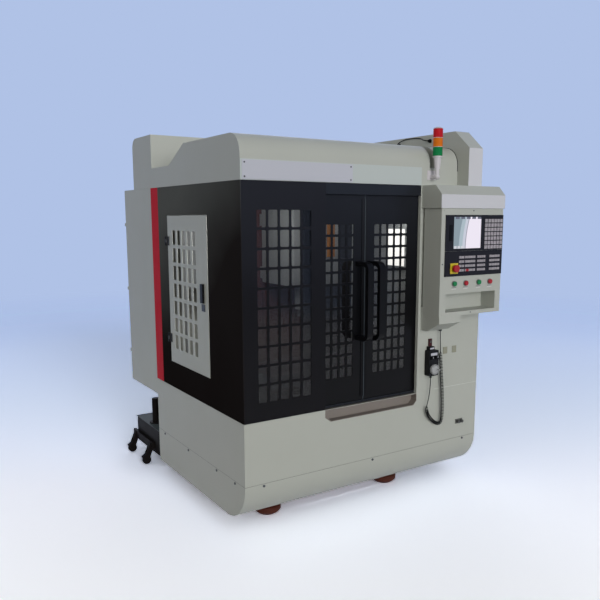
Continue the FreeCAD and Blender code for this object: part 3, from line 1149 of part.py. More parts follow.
def own_gap(edges, apart):
    """Least room between stretches of the wire that lie apart along it."""
    spots = []
    travelled = 0
    for edge in edges:
        spots.append((travelled, edge.valueAt(edge.FirstParameter)))
        spots.append((travelled + edge.Length / 2, middle(edge)))
        travelled += edge.Length
    least = math.inf
    for i, (here, a) in enumerate(spots):
        for there, b in spots[i + 1:]:
            if there - here > apart:
                least = min(least, a.distanceToPoint(b))
    return least - 2 * SIZES["cord_radius"]


def make_cord():
    spots, total = cord_line()
    first = spots[CURL_FIRST_EDGE][0]
    last = spots[CURL_LAST_EDGE][0]
    edges = [edge for _, edge in spots[:CURL_FIRST_EDGE]]
    steps = CURLS * 4
    step = (last - first) / steps
    tiny = 0.01
    chain = []
    for i in range(steps + 1):
        distance = first + i * step
        here = curl_point(spots, distance, first, last)
        if i in (0, steps):
            chain.append((here, on_line(spots, distance)[1]))
            continue
        ahead = curl_point(spots, distance + tiny, first, last)
        behind = curl_point(spots, distance - tiny, first, last)
        chain.append((here, (ahead - behind).normalize()))
    for (a, way_a), (b, way_b) in zip(chain, chain[1:]):
        edges.extend(biarc(a, way_a, b, way_b))
    edges.extend(edge for _, edge in spots[CURL_LAST_EDGE:])
    radii = [edge.Curve.Radius for edge in edges if edge.Curve.TypeId == "Part::GeomCircle"]
    half_curl = math.pi * SIZES["curl_radius"]
    print(f"cord: {CURLS} curls, pitch {(last - first) / CURLS:.2f} mm, line {total:.0f} mm, "
          f"least radius {min(radii):.2f} mm, own gap {own_gap(edges, half_curl):.2f} mm")
    node(swept("curly_cord_tube", edges, SIZES["cord_radius"]), "curly_cord")


# ---------------------------------------------------------------- castings and axes
def make_feet():
    feet = []
    sockets = []
    for i, x in enumerate(("foot_left_x", "foot_right_x")):
        for j, y in enumerate(("foot_front_y", "foot_back_y")):
            tag = f"{i}{j}"
            drum = rod(f"foot_drum_{tag}", "z", x, y, "0", "foot_radius", "foot_tall")
            dome = doc.addObject("Part::Sphere", f"foot_dome_{tag}")
            bind(dome, "Radius", "foot_dome")
            stand(dome, x, y, "foot_tall - foot_dome")
            domed = doc.addObject("Part::Common", f"foot_domed_{tag}")
            domed.Base = drum
            domed.Tool = dome
            bowl = doc.addObject("Part::Sphere", f"foot_bowl_{tag}")
            bind(bowl, "Radius", "foot_bowl")
            stand(bowl, x, y, "foot_bowl_z")
            pad_shape = doc.addObject("Part::Common", f"foot_pad_{tag}")
            pad_shape.Base = domed
            pad_shape.Tool = bowl
            stud = rod(f"foot_stud_{tag}", "z", x, y, "foot_rim", "stud_radius",
                       "stud_high - foot_rim")
            feet.append(fuse(f"foot_{tag}", [pad_shape, stud]))
            sockets.append(rod(f"foot_socket_{tag}", "z", x, y, "0",
                               "stud_radius + stud_clear", "stud_high + stud_clear"))
    node(group("feet", feet), "levelling_feet")
    return sockets


def rails(name, way, spots, start, long, level):
    """A pair of guide rails along one axis."""
    made = []
    for i, spot in enumerate(spots):
        if way == "y":
            made.append(box(f"{name}_{i}", spot, start, level, "rail_wide", long, "rail_tall"))
        elif way == "x":
            made.append(box(f"{name}_{i}", start, spot, level, long, "rail_wide", "rail_tall"))
        else:
            made.append(box(f"{name}_{i}", spot, level, start, "rail_wide", "rail_tall", long))
    return made


def make_castings():
    sockets = make_feet()
    base = box("bed_base", "bed_x", "bed_y", "skirt_low + sheet", "bed_wide",
               "bed_end_y - bed_y", "bed_foot_tall")
    top = box("bed_way", "way_x", "bed_y", "skirt_low + bed_foot_tall", "way_wide",
              "bed_end_y - bed_y", "bed_top - skirt_low - bed_foot_tall")
    guides = rails("y_rail", "y", ("y_rail_a", "y_rail_b"), "y_rail_y", "y_rail_long",
                   "bed_top")
    node(cut("bed", fuse("bed_solid", [base, top] + guides), sockets), "bed_casting")
    outer = box("column_block", "column_x", "column_y", "bed_top + rail_clear",
                "column_wide", "bed_end_y - column_y", "column_high - bed_top - rail_clear")
    inner = box("column_room", "column_x + column_wall", "column_y + column_wall",
                "bed_top + 2*column_wall", "column_wide - 2*column_wall",
                "bed_end_y - column_y", "column_high - bed_top - 3*column_wall")
    hollow = cut("column_hollow", outer, [inner])
    ribs = [box(f"column_rib_{i}", "column_x", "column_y + column_wall",
                f"bed_top + (2 + {i}*8)*column_wall", "column_wide",
                "bed_end_y - column_y - column_wall", "column_wall/2") for i in (1, 2, 3)]
    guides = rails("z_rail", "z", ("z_rail_a", "z_rail_b"), "z_rail_low", "z_rail_long",
                   "column_y - rail_tall")
    node(fuse("column", [hollow] + ribs + guides), "column_casting")


def blocks(name, way, rail_spots, offsets, level):
    """Carriages that straddle the rails, and the channels cut for the rails."""
    made = []
    channels = []
    for i, spot in enumerate(rail_spots):
        wide = "rail_wide + 2*block_wall"
        side = f"{spot} - block_wall"
        for j, offset in enumerate(offsets):
            if way == "y":
                made.append(box(f"{name}_{i}{j}", side, offset, f"{level} + block_lift",
                                wide, "block_long", "rail_tall + block_lift"))
            elif way == "x":
                made.append(box(f"{name}_{i}{j}", offset, side, f"{level} + block_lift",
                                "block_long", wide, "rail_tall + block_lift"))
            else:
                made.append(box(f"{name}_{i}{j}", side, f"{level} - 2*block_lift", offset,
                                wide, "rail_tall + block_lift", "block_long"))
    for i, spot in enumerate(rail_spots):
        side = f"{spot} - rail_clear"
        wide = "rail_wide + 2*rail_clear"
        long = "body_wide"
        if way == "y":
            channels.append(box(f"{name}_way_{i}", side, "0", f"{level} - rail_clear", wide,
                                long, "rail_tall + 2*rail_clear"))
        elif way == "x":
            channels.append(box(f"{name}_way_{i}", "0", side, f"{level} - rail_clear", long,
                                wide, "rail_tall + 2*rail_clear"))
        else:
            channels.append(box(f"{name}_way_{i}", side, "column_y - rail_tall - rail_clear",
                                "0", wide, "2*rail_tall", "box_top"))
    return made, channels


def make_axes():
    made, channels = blocks(
        "y_block", "y", ("y_rail_a", "y_rail_b"),
        ("spindle_y - y_block_off - block_long/2", "spindle_y + y_block_off - block_long/2"),
        "bed_top")
    slab = box("saddle_slab", "way_x", "saddle_y", "saddle_low", "way_wide", "saddle_deep",
               "saddle_tall")
    guides = rails("x_rail", "x", ("x_rail_a", "x_rail_b"), "way_x", "way_wide",
                   "saddle_low + saddle_tall")
    node(cut("saddle_cut", fuse("saddle_solid", [slab] + made + guides), channels), "saddle")
    made, channels = blocks(
        "x_block", "x", ("x_rail_a", "x_rail_b"),
        ("spindle_x - x_block_off - block_long/2", "spindle_x + x_block_off - block_long/2"),
        "saddle_low + saddle_tall")
    slab = box("table_slab", "table_x", "table_y", "table_low", "table_wide", "table_deep",
               "table_tall")
    tees = []
    for i in range(int(SIZES["slot_count"])):
        y = f"spindle_y + ({i} - 1)*slot_pitch"
        tees.append(box(f"slot_neck_{i}", "0", f"{y} - slot_wide/2",
                        "table_low + table_tall - slot_deep", "body_wide", "slot_wide",
                        "slot_deep + fold"))
        tees.append(box(f"slot_foot_{i}", "0", f"{y} - slot_head/2",
                        "table_low + table_tall - slot_deep", "body_wide", "slot_head",
                        "slot_head_tall"))
    node(cut("table_cut", fuse("table_solid", [slab] + made), channels + tees), "table")
    made, channels = blocks("z_block", "z", ("z_rail_a", "z_rail_b"),
                            ("head_block_z", "head_block_high"), "column_y - rail_tall")
    case = box("head_case", "head_x", "head_y", "head_low", "head_wide",
               "head_back - head_y", "head_tall")
    nose = rod("head_nose", "z", "spindle_x", "spindle_y", "head_low - nose_tall",
               "nose_radius", "nose_tall + 1")
    motor = box("head_motor", "spindle_x - motor_half", "spindle_y - motor_half",
                "head_low + head_tall", "2*motor_half", "2*motor_half", "motor_tall")
    bore = rod("head_bore", "z", "spindle_x", "spindle_y", "head_low - nose_tall - fold",
               "spindle_radius + spindle_clear",
               "spindle_long + fold - flange_tall")
    strip = box("head_strip", "strip_x", "head_y - strip_deep", "strip_low", "strip_wide",
                "strip_deep + 1", "strip_tall")
    node(cut("head_cut", fuse("head_solid", [case, nose, motor, strip] + made),
             channels + [bore]), "head")
    shaft = rod("spindle_shaft", "z", "spindle_x", "spindle_y", "spindle_low",
                "spindle_radius", "spindle_long - flange_tall")
    flange = rod("spindle_flange", "z", "spindle_x", "spindle_y", "spindle_low",
                 "flange_radius", "flange_tall")
    taper = rod("spindle_taper", "z", "spindle_x", "spindle_y", "spindle_low - fold",
                "taper_radius", "taper_deep + fold")
    key_slot = box("drive_key_slot", "spindle_x - flange_radius - 1",
                   "spindle_y - key_slot/2", "spindle_low - fold", "2*flange_radius + 2",
                   "key_slot", "fold + flange_tall/2")
    holder = rod("tool_holder", "z", "spindle_x", "spindle_y", "spindle_low - tool_drop/2",
                 "taper_radius + 4", "taper_deep")
    cutter = rod("tool_cutter", "z", "spindle_x", "spindle_y", "spindle_low - tool_drop",
                 "tool_radius", "tool_drop")
    node(fuse("spindle_tooled", [cut("spindle_cut", fuse("spindle_solid", [shaft, flange]),
                                     [taper, key_slot]), holder, cutter]), "spindle")


def make_lining():
    left = box("tray_left", "tray_x", "lining_front", "tray_z", "tray_left_end - tray_x",
               "lining_back - lining_front", "sheet")
    right = box("tray_right", "tray_right_x", "lining_front", "tray_z",
                "lining_x - tray_right_x + sheet", "lining_back - lining_front", "sheet")
    front = box("tray_front", "tray_x", "lining_front", "tray_z", "lining_x - tray_x + sheet",
                "tray_front_end - lining_front", "sheet")
    wall = box("lining_right", "lining_x", "lining_front", "tray_z", "sheet",
               "lining_back - lining_front", "header_low - tray_z")
    back_right = box("lining_back_right", "lining_right_x", "lining_back", "tray_z",
                     "lining_x - lining_right_x + sheet", "sheet", "header_low - tray_z")
    back_left = box("lining_back_left", "tray_x", "lining_back", "lining_low",
                    "lining_left_end - tray_x", "sheet", "header_low - lining_low")
    post = box("lining_post", "tray_x", "lining_back", "tray_z", "fold", "fold",
               "header_low - tray_z")
    lamp = box("work_lamp", "lining_x - lamp_proud", "lamp_y", "lamp_low", "lamp_proud + 1",
               "lamp_wide", "lamp_tall")
    drops = [lamp]
    for side, x, foot_x in (("left", "tray_left_end - sheet", "tray_left_end - sheet"),
                            ("right", "tray_right_x", "way_x + way_wide + seat")):
        drops.append(box(f"tray_drop_{side}", x, "lining_front", "tray_low", "sheet",
                         "lining_back - lining_front", "tray_z - tray_low + sheet"))
        drops.append(box(f"tray_foot_{side}", foot_x, "bed_y", "tray_low",
                         "way_x - seat - tray_left_end + sheet", "lining_back - bed_y",
                         "sheet"))
    node(fuse("lining", [left, right, front, wall, back_right, back_left, post] + drops),
         "chamber_lining")


def make_caster(tag, end, y):
    """A swivel caster with a brake pedal, out beyond one end of the tank."""
    way = "-" if end == "tank_x" else "+"

    def out(distance):
        return f"{end} {way} ({distance})"

    half = "(wheel_half + fork_gap + fork_thick)"
    fork = new_body(f"fork_{tag}")
    outline = [(out("0"), "channel_low + 1"), (out("channel_proud"), "channel_high"),
               (out("caster_out + 2*fork_nose"), "caster_radius + fork_nose"),
               (out("caster_out + fork_nose"), "caster_radius - fork_nose"),
               (out("caster_out - fork_nose"), "caster_radius - fork_nose")]
    pad(fork, "legs", "XZ_Plane", f"{y} - {half}", outline, f"2*{half}")
    low, high = sorted((out("0"), out("2*caster_out")), key=amount)
    pocket(fork, "wheel_room", "XZ_Plane", f"{y} - wheel_half - fork_gap",
           rectangle(low, "0", high, "channel_low - fork_thick"),
           "2*wheel_half + 2*fork_gap")
    wheel = rod(f"caster_{tag}", "y", out("caster_out"), f"{y} + wheel_half", "caster_radius",
                "caster_radius", "2*wheel_half")
    axle = rod(f"caster_axle_{tag}", "y", out("caster_out"), f"{y} + {half}",
               "caster_radius", "caster_axle", f"2*{half}")
    pedal = new_body(f"pedal_{tag}")
    outline = [(out("channel_proud"), "pedal_low + pedal_rise"),
               (out("channel_proud"), "pedal_low + pedal_rise + pedal_thick"),
               (out("pedal_out"), "pedal_low + pedal_thick"), (out("pedal_out"), "pedal_low")]
    pad(pedal, "plate", "XZ_Plane", f"{y} - {half}", outline, f"2*{half}")
    return [fork, wheel, axle, pedal]


def make_tank():
    tub = box("tank_tub", "tank_x", "tank_y", "tank_low", "tank_wide", "tank_end_y - tank_y",
              "tank_high - tank_low")
    room = box("tank_room", "tank_x + tank_wall", "tank_y + tank_wall",
               "tank_low + tank_wall", "tank_wide - 2*tank_wall",
               "tank_end_y - tank_y - 2*tank_wall", "tank_high - tank_low - tank_wall")
    lid = box("tank_lid", "tank_x - tank_rim", "tank_y - tank_rim", "tank_high - lid_thick",
              "tank_wide + 2*tank_rim", "tank_end_y - tank_y + 2*tank_rim", "lid_thick")
    flange = rod("pump_flange_disc", "z", "pump_x", "pump_y", "tank_high - 1", "pump_flange",
                 "1 + pump_flange_tall")
    pump = rod("pump_motor", "z", "pump_x", "pump_y", "tank_high - 1", "pump_radius",
               "1 + pump_tall")
    parts = [cut("tank_hollow", tub, [room]), lid, flange, pump]
    for side, x, end in (("a", "tank_x - channel_proud", "tank_x"),
                         ("b", "tank_x + tank_wide", "tank_x + tank_wide")):
        parts.append(box(f"channel_{side}", x, "channel_y", "channel_low", "channel_proud",
                         "channel_end_y - channel_y", "channel_high - channel_low"))
        parts.extend(make_caster(f"{side}1", end, "caster_y"))
        parts.extend(make_caster(f"{side}2", end, "caster_end_y"))
    node(fuse("tank", parts), "coolant_tank")


make_skirt()
make_front_panel()
make_side_panels()
make_sill_pocket()
make_fixed_front()
make_door("left", "door_left_x", "meet_x - reveal", "left_cell_x",
          "meet_x - reveal - seal_wide")
make_door("right", "meet_x + reveal", "door_right_x", "right_cell_x", "meet_x + reveal")
make_handle("left", "meet_x - handle_off - handle_wide")
make_handle("right", "meet_x + handle_off")
make_access_door()
make_hoods()
make_sign()
make_rear()
make_duct()
make_duct_lead()
make_control_box()
make_keys()
make_buttons()
make_tower()
make_pendant()
make_cord()
make_castings()
make_axes()
make_lining()
make_tank()

doc.recompute()
for item in doc.Objects:
    if "Invalid" in item.State or "Error" in item.State:
        raise RuntimeError(f"{item.Name} failed: {item.State}")
os.makedirs("parts", exist_ok=True)
labels = [item.Label for item in NODES]
assert len(set(labels)) == len(labels), "two nodes share a name"
for item in NODES:
    shape = item.Shape
    if shape.isNull() or not shape.isValid() or not shape.Solids:
        raise RuntimeError(f"{item.Label} has no valid solid")
    shape.exportStep(f"parts/{item.Label}.step")
    box_seen = shape.BoundBox
    print(f"{item.Label}: {len(shape.Solids)} solids, {len(shape.Faces)} faces, "
          f"{box_seen.XMin:.0f}..{box_seen.XMax:.0f} {box_seen.YMin:.0f}..{box_seen.YMax:.0f} "
          f"{box_seen.ZMin:.0f}..{box_seen.ZMax:.0f}")
print(f"{len(NODES)} nodes")
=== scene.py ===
import math

import bpy
from mathutils import Euler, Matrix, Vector
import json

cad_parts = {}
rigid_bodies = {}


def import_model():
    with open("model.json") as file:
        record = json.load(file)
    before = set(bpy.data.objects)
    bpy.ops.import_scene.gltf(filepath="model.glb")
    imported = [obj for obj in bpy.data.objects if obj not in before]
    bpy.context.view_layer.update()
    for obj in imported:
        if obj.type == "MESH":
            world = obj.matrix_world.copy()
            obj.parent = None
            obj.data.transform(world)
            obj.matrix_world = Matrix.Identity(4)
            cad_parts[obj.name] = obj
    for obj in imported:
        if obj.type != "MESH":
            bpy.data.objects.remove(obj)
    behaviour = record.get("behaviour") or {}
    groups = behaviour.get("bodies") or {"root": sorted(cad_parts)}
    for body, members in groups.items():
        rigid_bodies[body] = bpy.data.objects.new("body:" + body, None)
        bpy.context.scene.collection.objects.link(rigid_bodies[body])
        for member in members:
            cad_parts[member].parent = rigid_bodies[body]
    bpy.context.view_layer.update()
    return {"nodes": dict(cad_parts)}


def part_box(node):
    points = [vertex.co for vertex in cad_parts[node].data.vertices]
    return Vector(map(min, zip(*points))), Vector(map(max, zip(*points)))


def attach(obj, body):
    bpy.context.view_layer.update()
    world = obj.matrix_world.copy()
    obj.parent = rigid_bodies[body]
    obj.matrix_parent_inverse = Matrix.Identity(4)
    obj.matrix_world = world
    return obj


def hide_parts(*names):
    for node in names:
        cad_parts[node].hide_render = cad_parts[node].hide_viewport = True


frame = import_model()
nodes = frame["nodes"]
root = "enclosure"
leftFace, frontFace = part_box("lower_valance")[0][:2]  # the enclosure's front left corner


def spot(x, y, z):  # millimetres right of the left face, behind the front face, above the floor
    return Vector((leftFace + x / 1000, frontFace + y / 1000, z / 1000))


def linear(red, green, blue):  # a colour as a picture shows it, 0 to 255
    def channel(value):
        value = value / 255
        return value / 12.92 if value <= 0.04045 else ((value + 0.055) / 1.055) ** 2.4
    return (channel(red), channel(green), channel(blue), 1.0)


# shader maths: a number in a material, with the usual operators
class Number:
    def __init__(self, nodes, socket):
        self.nodes = nodes
        self.socket = socket

    def calc(self, operation, *others):
        made = self.nodes.node("ShaderNodeMath", {"operation": operation},
                               dict(enumerate((self,) + others)))
        return Number(self.nodes, made.outputs[0])

    def __add__(self, other):
        return self.calc("ADD", other)

    def __radd__(self, other):
        return self.calc("ADD", other)

    def __sub__(self, other):
        return self.calc("SUBTRACT", other)

    def __rsub__(self, other):
        return (self * -1) + other

    def __mul__(self, other):
        return self.calc("MULTIPLY", other)

    def __rmul__(self, other):
        return self.calc("MULTIPLY", other)

    def __truediv__(self, other):
        return self.calc("DIVIDE", other)

    def above(self, level):
        return self.calc("GREATER_THAN", level)

    def below(self, level):
        return self.calc("LESS_THAN", level)

    def between(self, low, high):
        return self.above(low) * self.below(high)

    def wrapped(self, step):
        return self.calc("MODULO", step)

    def held(self):  # kept from 0 to 1
        return self.calc("MINIMUM", 1.0).calc("MAXIMUM", 0.0)


class Nodes:  # what every node tree here shares
    def __init__(self, tree):
        self.tree = tree

    def feed(self, socket, value):
        if isinstance(value, Number):
            self.tree.links.new(value.socket, socket)
        elif isinstance(value, bpy.types.NodeSocket):
            self.tree.links.new(value, socket)
        else:
            socket.default_value = value

    def node(self, kind, settings=None, inputs=None):
        made = self.tree.nodes.new(kind)
        for key, value in (settings or {}).items():
            if key == "stops":  # a colour ramp's positions and colours
                for position, colour in value[2:]:
                    made.color_ramp.elements.new(position)
                for element, (position, colour) in zip(made.color_ramp.elements, value):
                    element.position = position
                    element.color = colour
            else:
                setattr(made, key, value)
        for key, value in (inputs or {}).items():
            self.feed(made.inputs[key], value)
        return made

    def number(self, socket):
        return Number(self, socket)

    def seen(self):  # 1 for the camera, for reflections and through glass
        ray = self.node("ShaderNodeLightPath")
        mask = self.number(ray.outputs["Is Camera Ray"])
        for name in ("Is Glossy Ray", "Is Transmission Ray"):
            mask = mask.calc("MAXIMUM", ray.outputs[name])
        return mask


class Finish(Nodes):  # one material
    def __init__(self, name, roughness=0.5, metallic=0.0):
        self.material = bpy.data.materials.new(name)
        self.material.use_nodes = True
        super().__init__(self.material.node_tree)
        self.shader = self.tree.nodes["Principled BSDF"]
        self.shader.inputs["Roughness"].default_value = roughness
        self.shader.inputs["Metallic"].default_value = metallic
        self.place = None
        self.base = None

    def point(self):  # the place on the piece, in the part's own frame
        if self.place is None:
            self.place = self.node("ShaderNodeTexCoord").outputs["Object"]
        return self.place

    def axes(self):  # that place's X, Y and Z, in metres
        split = self.node("ShaderNodeSeparateXYZ", inputs={"Vector": self.point()})
        return [self.number(split.outputs[name]) for name in "XYZ"]

    def noise(self, scale, detail):
        made = self.node("ShaderNodeTexNoise", inputs={
            "Vector": self.point(), "Scale": scale, "Detail": detail})
        return self.number(made.outputs[0])

    def mixed(self, mask, first, second):  # second shows where the mask is 1
        made = self.node("ShaderNodeMix", {"data_type": "RGBA"})
        self.feed(made.inputs[0], mask)
        self.feed(made.inputs[6], first)
        self.feed(made.inputs[7], second)
        return made.outputs[2]

    def colour(self, value):
        self.base = value
        self.feed(self.shader.inputs["Base Color"], value)

    def patch(self, mask, value):  # another colour where the mask is 1
        self.colour(self.mixed(mask, self.base, value))

    def rough(self, value):
        self.feed(self.shader.inputs["Roughness"], value)

    def bump(self, height, strength, distance=0.001):
        made = self.node("ShaderNodeBump", inputs={"Height": height, "Strength": strength,
                                                   "Distance": distance})
        self.feed(self.shader.inputs["Normal"], made.outputs[0])

    def glow(self, colour, strength):
        self.feed(self.shader.inputs["Emission Color"], colour)
        self.shader.inputs["Emission Strength"].default_value = strength


def dimmed(colour, share):
    return tuple(part * share for part in colour[:3]) + (1.0,)


# paints and plastics
paints = {
    "cream": linear(184, 187, 179), "creamShade": linear(170, 172, 163),
    "creamPaintedLight": linear(210, 211, 217), "bandHighlight": linear(190, 198, 196),
    "seamShadow": linear(96, 96, 92), "joint": linear(206, 210, 204), "pocket": linear(130, 122, 115),
    "black": linear(15, 14, 17), "blackReflectionTop": linear(34, 35, 41), "header": linear(30, 33, 39),
    "doorBlack": linear(13, 13, 15), "doorReflectionTop": linear(34, 36, 42), "doorFoldHighlight": linear(70, 78, 84),
    "sideLow": linear(28, 24, 24), "sideSheenHigh": linear(44, 42, 44), "sideReflection": linear(98, 102, 104),
    "red": linear(206, 22, 42), "white": linear(194, 196, 206), "signScrew": linear(70, 70, 74),
    "lining": linear(206, 210, 210), "liningShaded": linear(58, 57, 58),
    "primer": linear(98, 52, 45), "head": linear(166, 169, 168), "orange": linear(196, 124, 34),
    "steel": linear(178, 180, 184), "darkSteel": linear(88, 90, 94),
    "foot": linear(78, 38, 28), "tank": linear(30, 27, 27), "tankLidReflection": linear(88, 98, 102),
    "hardware": linear(12, 12, 14), "hook": linear(66, 30, 34), "wheel": linear(172, 174, 176),
    "station": linear(32, 32, 38), "portCover": linear(8, 8, 10), "yellow": linear(208, 186, 40),
    "ring": linear(120, 122, 122), "tag": linear(206, 206, 202),
    "key": linear(172, 166, 172), "keyShade": linear(122, 118, 124),
    "signal": linear(172, 24, 36), "green": linear(8, 124, 66), "amber": linear(214, 112, 16),
    "towerRed": linear(190, 20, 34), "towerWhite": linear(206, 202, 206),
    "tan": linear(146, 146, 128), "peg": linear(62, 62, 60), "outlet": linear(92, 94, 90),
    "glass": linear(14, 14, 16),
}
peel = {"scale": 420, "strength": 0.05, "cloudScale": 3.0, "cloudFrom": 0.35, "cloud": 0.5,
        "shade": 0.92, "wearScale": 9.0, "wear": 0.12}  # how sprayed sheet metal looks
grain = {"scale": 900, "strength": 0.03}
ground = {"scale": 60, "spread": 0.2}


def paint(name, colour, roughness=0.42, shade=None, shine=0.5):
    finish = Finish(name, roughness)
    cloud = finish.noise(peel["cloudScale"], 3.0)
    finish.colour(finish.mixed((cloud - peel["cloudFrom"]) * peel["cloud"], colour,
                               shade or dimmed(colour, peel["shade"])))
    wear = finish.noise(peel["wearScale"], 3.0) * peel["wear"]
    finish.rough(wear + (roughness - peel["wear"] / 2))
    finish.bump(finish.noise(peel["scale"], 1.0), peel["strength"])
    finish.shader.inputs["Specular IOR Level"].default_value = shine
    return finish


def plastic(name, colour, roughness=0.4, shine=0.4):
    finish = Finish(name, roughness)
    finish.colour(colour)
    finish.bump(finish.noise(grain["scale"], 1.0), grain["strength"])
    finish.shader.inputs["Specular IOR Level"].default_value = shine
    return finish


def metal(name, colour, roughness=0.35):
    finish = Finish(name, roughness, 1.0)
    finish.colour(colour)
    finish.rough(finish.noise(ground["scale"], 4.0) * ground["spread"]
                 + (roughness - ground["spread"] / 2))
    return finish


lensForm = {"roughness": 0.16, "glow": 0.08, "shine": 0.12, "pitch": 0.0045, "bands": 0.2,
            "dark": 0.6, "relief": 0.35, "depth": 0.0008}


def lens(name, colour):  # ribbed inside, so it catches light in rings: a bump, and painted shade darkening its colour in bands along the ribs
    finish = Finish(name, lensForm["roughness"])
    finish.glow(colour, lensForm["glow"])
    finish.shader.inputs["Specular IOR Level"].default_value = lensForm["shine"]
    _, _, height = finish.axes()
    rings = (height * (2 * math.pi / lensForm["pitch"])).calc("SINE")
    finish.colour(finish.mixed(rings * lensForm["bands"] + lensForm["bands"], colour,
                               dimmed(colour, lensForm["dark"])))
    finish.bump(rings, lensForm["relief"], lensForm["depth"])
    return finish


steel = metal("groundSteel", paints["steel"], 0.3)
darkSteel = metal("darkSteel", paints["darkSteel"], 0.4)
blackHardware = plastic("blackHardware", paints["hardware"], 0.35, 0.1)
stationBlack = plastic("stationBlack", paints["station"], 0.42, 0.1)
wheelGrey = plastic("wheelGrey", paints["wheel"], 0.35)
redPlastic = plastic("redPlastic", paints["signal"], 0.3)
greenPlastic = plastic("greenPlastic", paints["green"], 0.3)
print("stage: finishes")

# where a colour changes on a piece: metres above the floor or from the enclosure's front left
# corner, so that each value lies between two faces of the solid
skirtMarks = {"seamShadow": (0.2812, 0.2829), "joint": (0.6035, 0.6065), "from": 1.225, "upTo": 0.0025}


def creamPaint():  # a painted shadow where the skirt's sheets meet, a painted highlight along a joint on the front column
    finish = paint("creamPaint", paints["cream"], 0.42, shade=paints["creamShade"])
    across, deep, height = finish.axes()
    # painted shadow along the line where the skirt's sheets meet
    finish.patch(height.between(*skirtMarks["seamShadow"]), paints["seamShadow"])
    # painted highlight along the joint on the front column
    column = across.above(leftFace + skirtMarks["from"])
    column = column * deep.below(frontFace + skirtMarks["upTo"])
    finish.patch(height.between(*skirtMarks["joint"]) * column, paints["joint"])
    return finish


hardwareOutside = -0.0022  # past the left face


def accessDoor():  # cream, with black leaves, knuckles and lock
    finish = paint("accessDoorPaint", paints["cream"], 0.42, shade=paints["creamShade"])
    across, _, _ = finish.axes()
    finish.patch(across.below(leftFace + hardwareOutside), paints["hardware"])
    return finish


def paintedLightFront(name, roughness, ahead):  # cream, with painted light making the face furthest forward a shade lighter
    finish = paint(name, paints["cream"], roughness, shade=paints["creamShade"])
    _, deep, _ = finish.axes()
    finish.patch(deep.below(frontFace - ahead), paints["creamPaintedLight"])
    return finish


hoodBand = {"ahead": 0.0005, "top": 1.8445}


def highlightedBandCream():  # the hood: a painted highlight makes its flat front band a shade lighter
    finish = paint("hoodPaint", paints["cream"], 0.40, shade=paints["creamShade"])
    _, deep, height = finish.axes()
    band = deep.below(frontFace - hoodBand["ahead"]) * height.below(hoodBand["top"])
    finish.patch(band, paints["bandHighlight"])
    return finish


sideSheen = {"cloudScale": 2.2, "cloud": 0.5, "offset": 0.42, "rise": 0.62,
             "reflectionFrom": 1.12, "reflectionRise": 1.3, "reflectionBehind": 0.35, "reflectionBack": 0.9}


def sideBlack():  # the left side's black sheet: a painted sheen lightens it upwards from the skirt, a painted reflection lies at its upper rear
    finish = paint("sidePaint", paints["black"], 0.42, shine=0.0)
    _, deep, height = finish.axes()
    cloud = finish.noise(sideSheen["cloudScale"], 2.0) * sideSheen["cloud"]
    rise = (height * sideSheen["rise"] + cloud - sideSheen["offset"]).calc("MINIMUM", 1.0)
    finish.colour(finish.mixed(rise, paints["sideLow"], paints["sideSheenHigh"]))
    upper = (height - sideSheen["reflectionFrom"]) * sideSheen["reflectionRise"]
    rear = (deep - frontFace - sideSheen["reflectionBehind"]) * sideSheen["reflectionBack"]
    finish.patch((upper + rear + cloud - sideSheen["offset"]).held(), paints["sideReflection"])
    return finish


upperSheen = {"from": 1.15, "rise": 1.8, "cloudScale": 3.5, "cloud": 0.5}


def frontBlack(name, low, high, roughness):  # black sheet with a painted reflection that greys it a little towards the hood
    finish = paint(name, low, roughness, shine=0.1)
    _, _, height = finish.axes()
    cloud = (finish.noise(upperSheen["cloudScale"], 2.0) - 0.5) * upperSheen["cloud"]
    share = ((height - upperSheen["from"]) * upperSheen["rise"] + cloud).held()
    finish.colour(finish.mixed(share, low, high))
    return finish


doorMarks = {"fold": (0.7299, 0.7335), "seal": (0.0215, 0.0259), "rubber": 0.4, "sheet": 0.3}


def doorPaint():  # with dull rubber strips, a painted reflection greying it towards the top, and a painted highlight along the fold where the doors meet
    finish = frontBlack("doorPaint", paints["doorBlack"], paints["doorReflectionTop"], 0.32)
    across, deep, _ = finish.axes()
    # painted highlight along the fold where the doors meet
    low, high = doorMarks["fold"]
    finish.patch(across.between(leftFace + low, leftFace + high), paints["doorFoldHighlight"])
    low, high = doorMarks["seal"]
    seal = deep.between(frontFace + low, frontFace + high)
    finish.rough(seal * doorMarks["rubber"] + doorMarks["sheet"])
    return finish


cast = {"patchScale": 4.0, "dark": 0.8, "grainScale": 120, "grain": 0.35, "depth": 0.002}


def casting():
    finish = Finish("redPrimer", 0.7)
    finish.colour(finish.mixed(finish.noise(cast["patchScale"], 4.0),
                               dimmed(paints["primer"], cast["dark"]), paints["primer"]))
    finish.bump(finish.noise(cast["grainScale"], 4.0), cast["grain"], cast["depth"])
    return finish


pane = {"from": 0.7, "clearing": -0.32, "smoke": 0.62, "darkest": 0.66}


def windowGlass():  # smoked, and a little clearer towards the top
    finish = Finish("windowGlass", 0.05)
    finish.colour(paints["glass"])
    _, _, height = finish.axes()
    smoke = (height - pane["from"]) * pane["clearing"] + pane["smoke"]
    finish.feed(finish.shader.inputs["Alpha"], smoke.calc("MINIMUM", pane["darkest"]))
    return finish


liningMarks = {"rearLeft": 0.41, "rearFrom": 0.78, "rearShade": 0.3, "rightWall": 1.2095,
               "lamp": ((1.2095, 1.2125), (0.266, 0.418), (1.294, 1.511)), "lampGlow": 2.4}


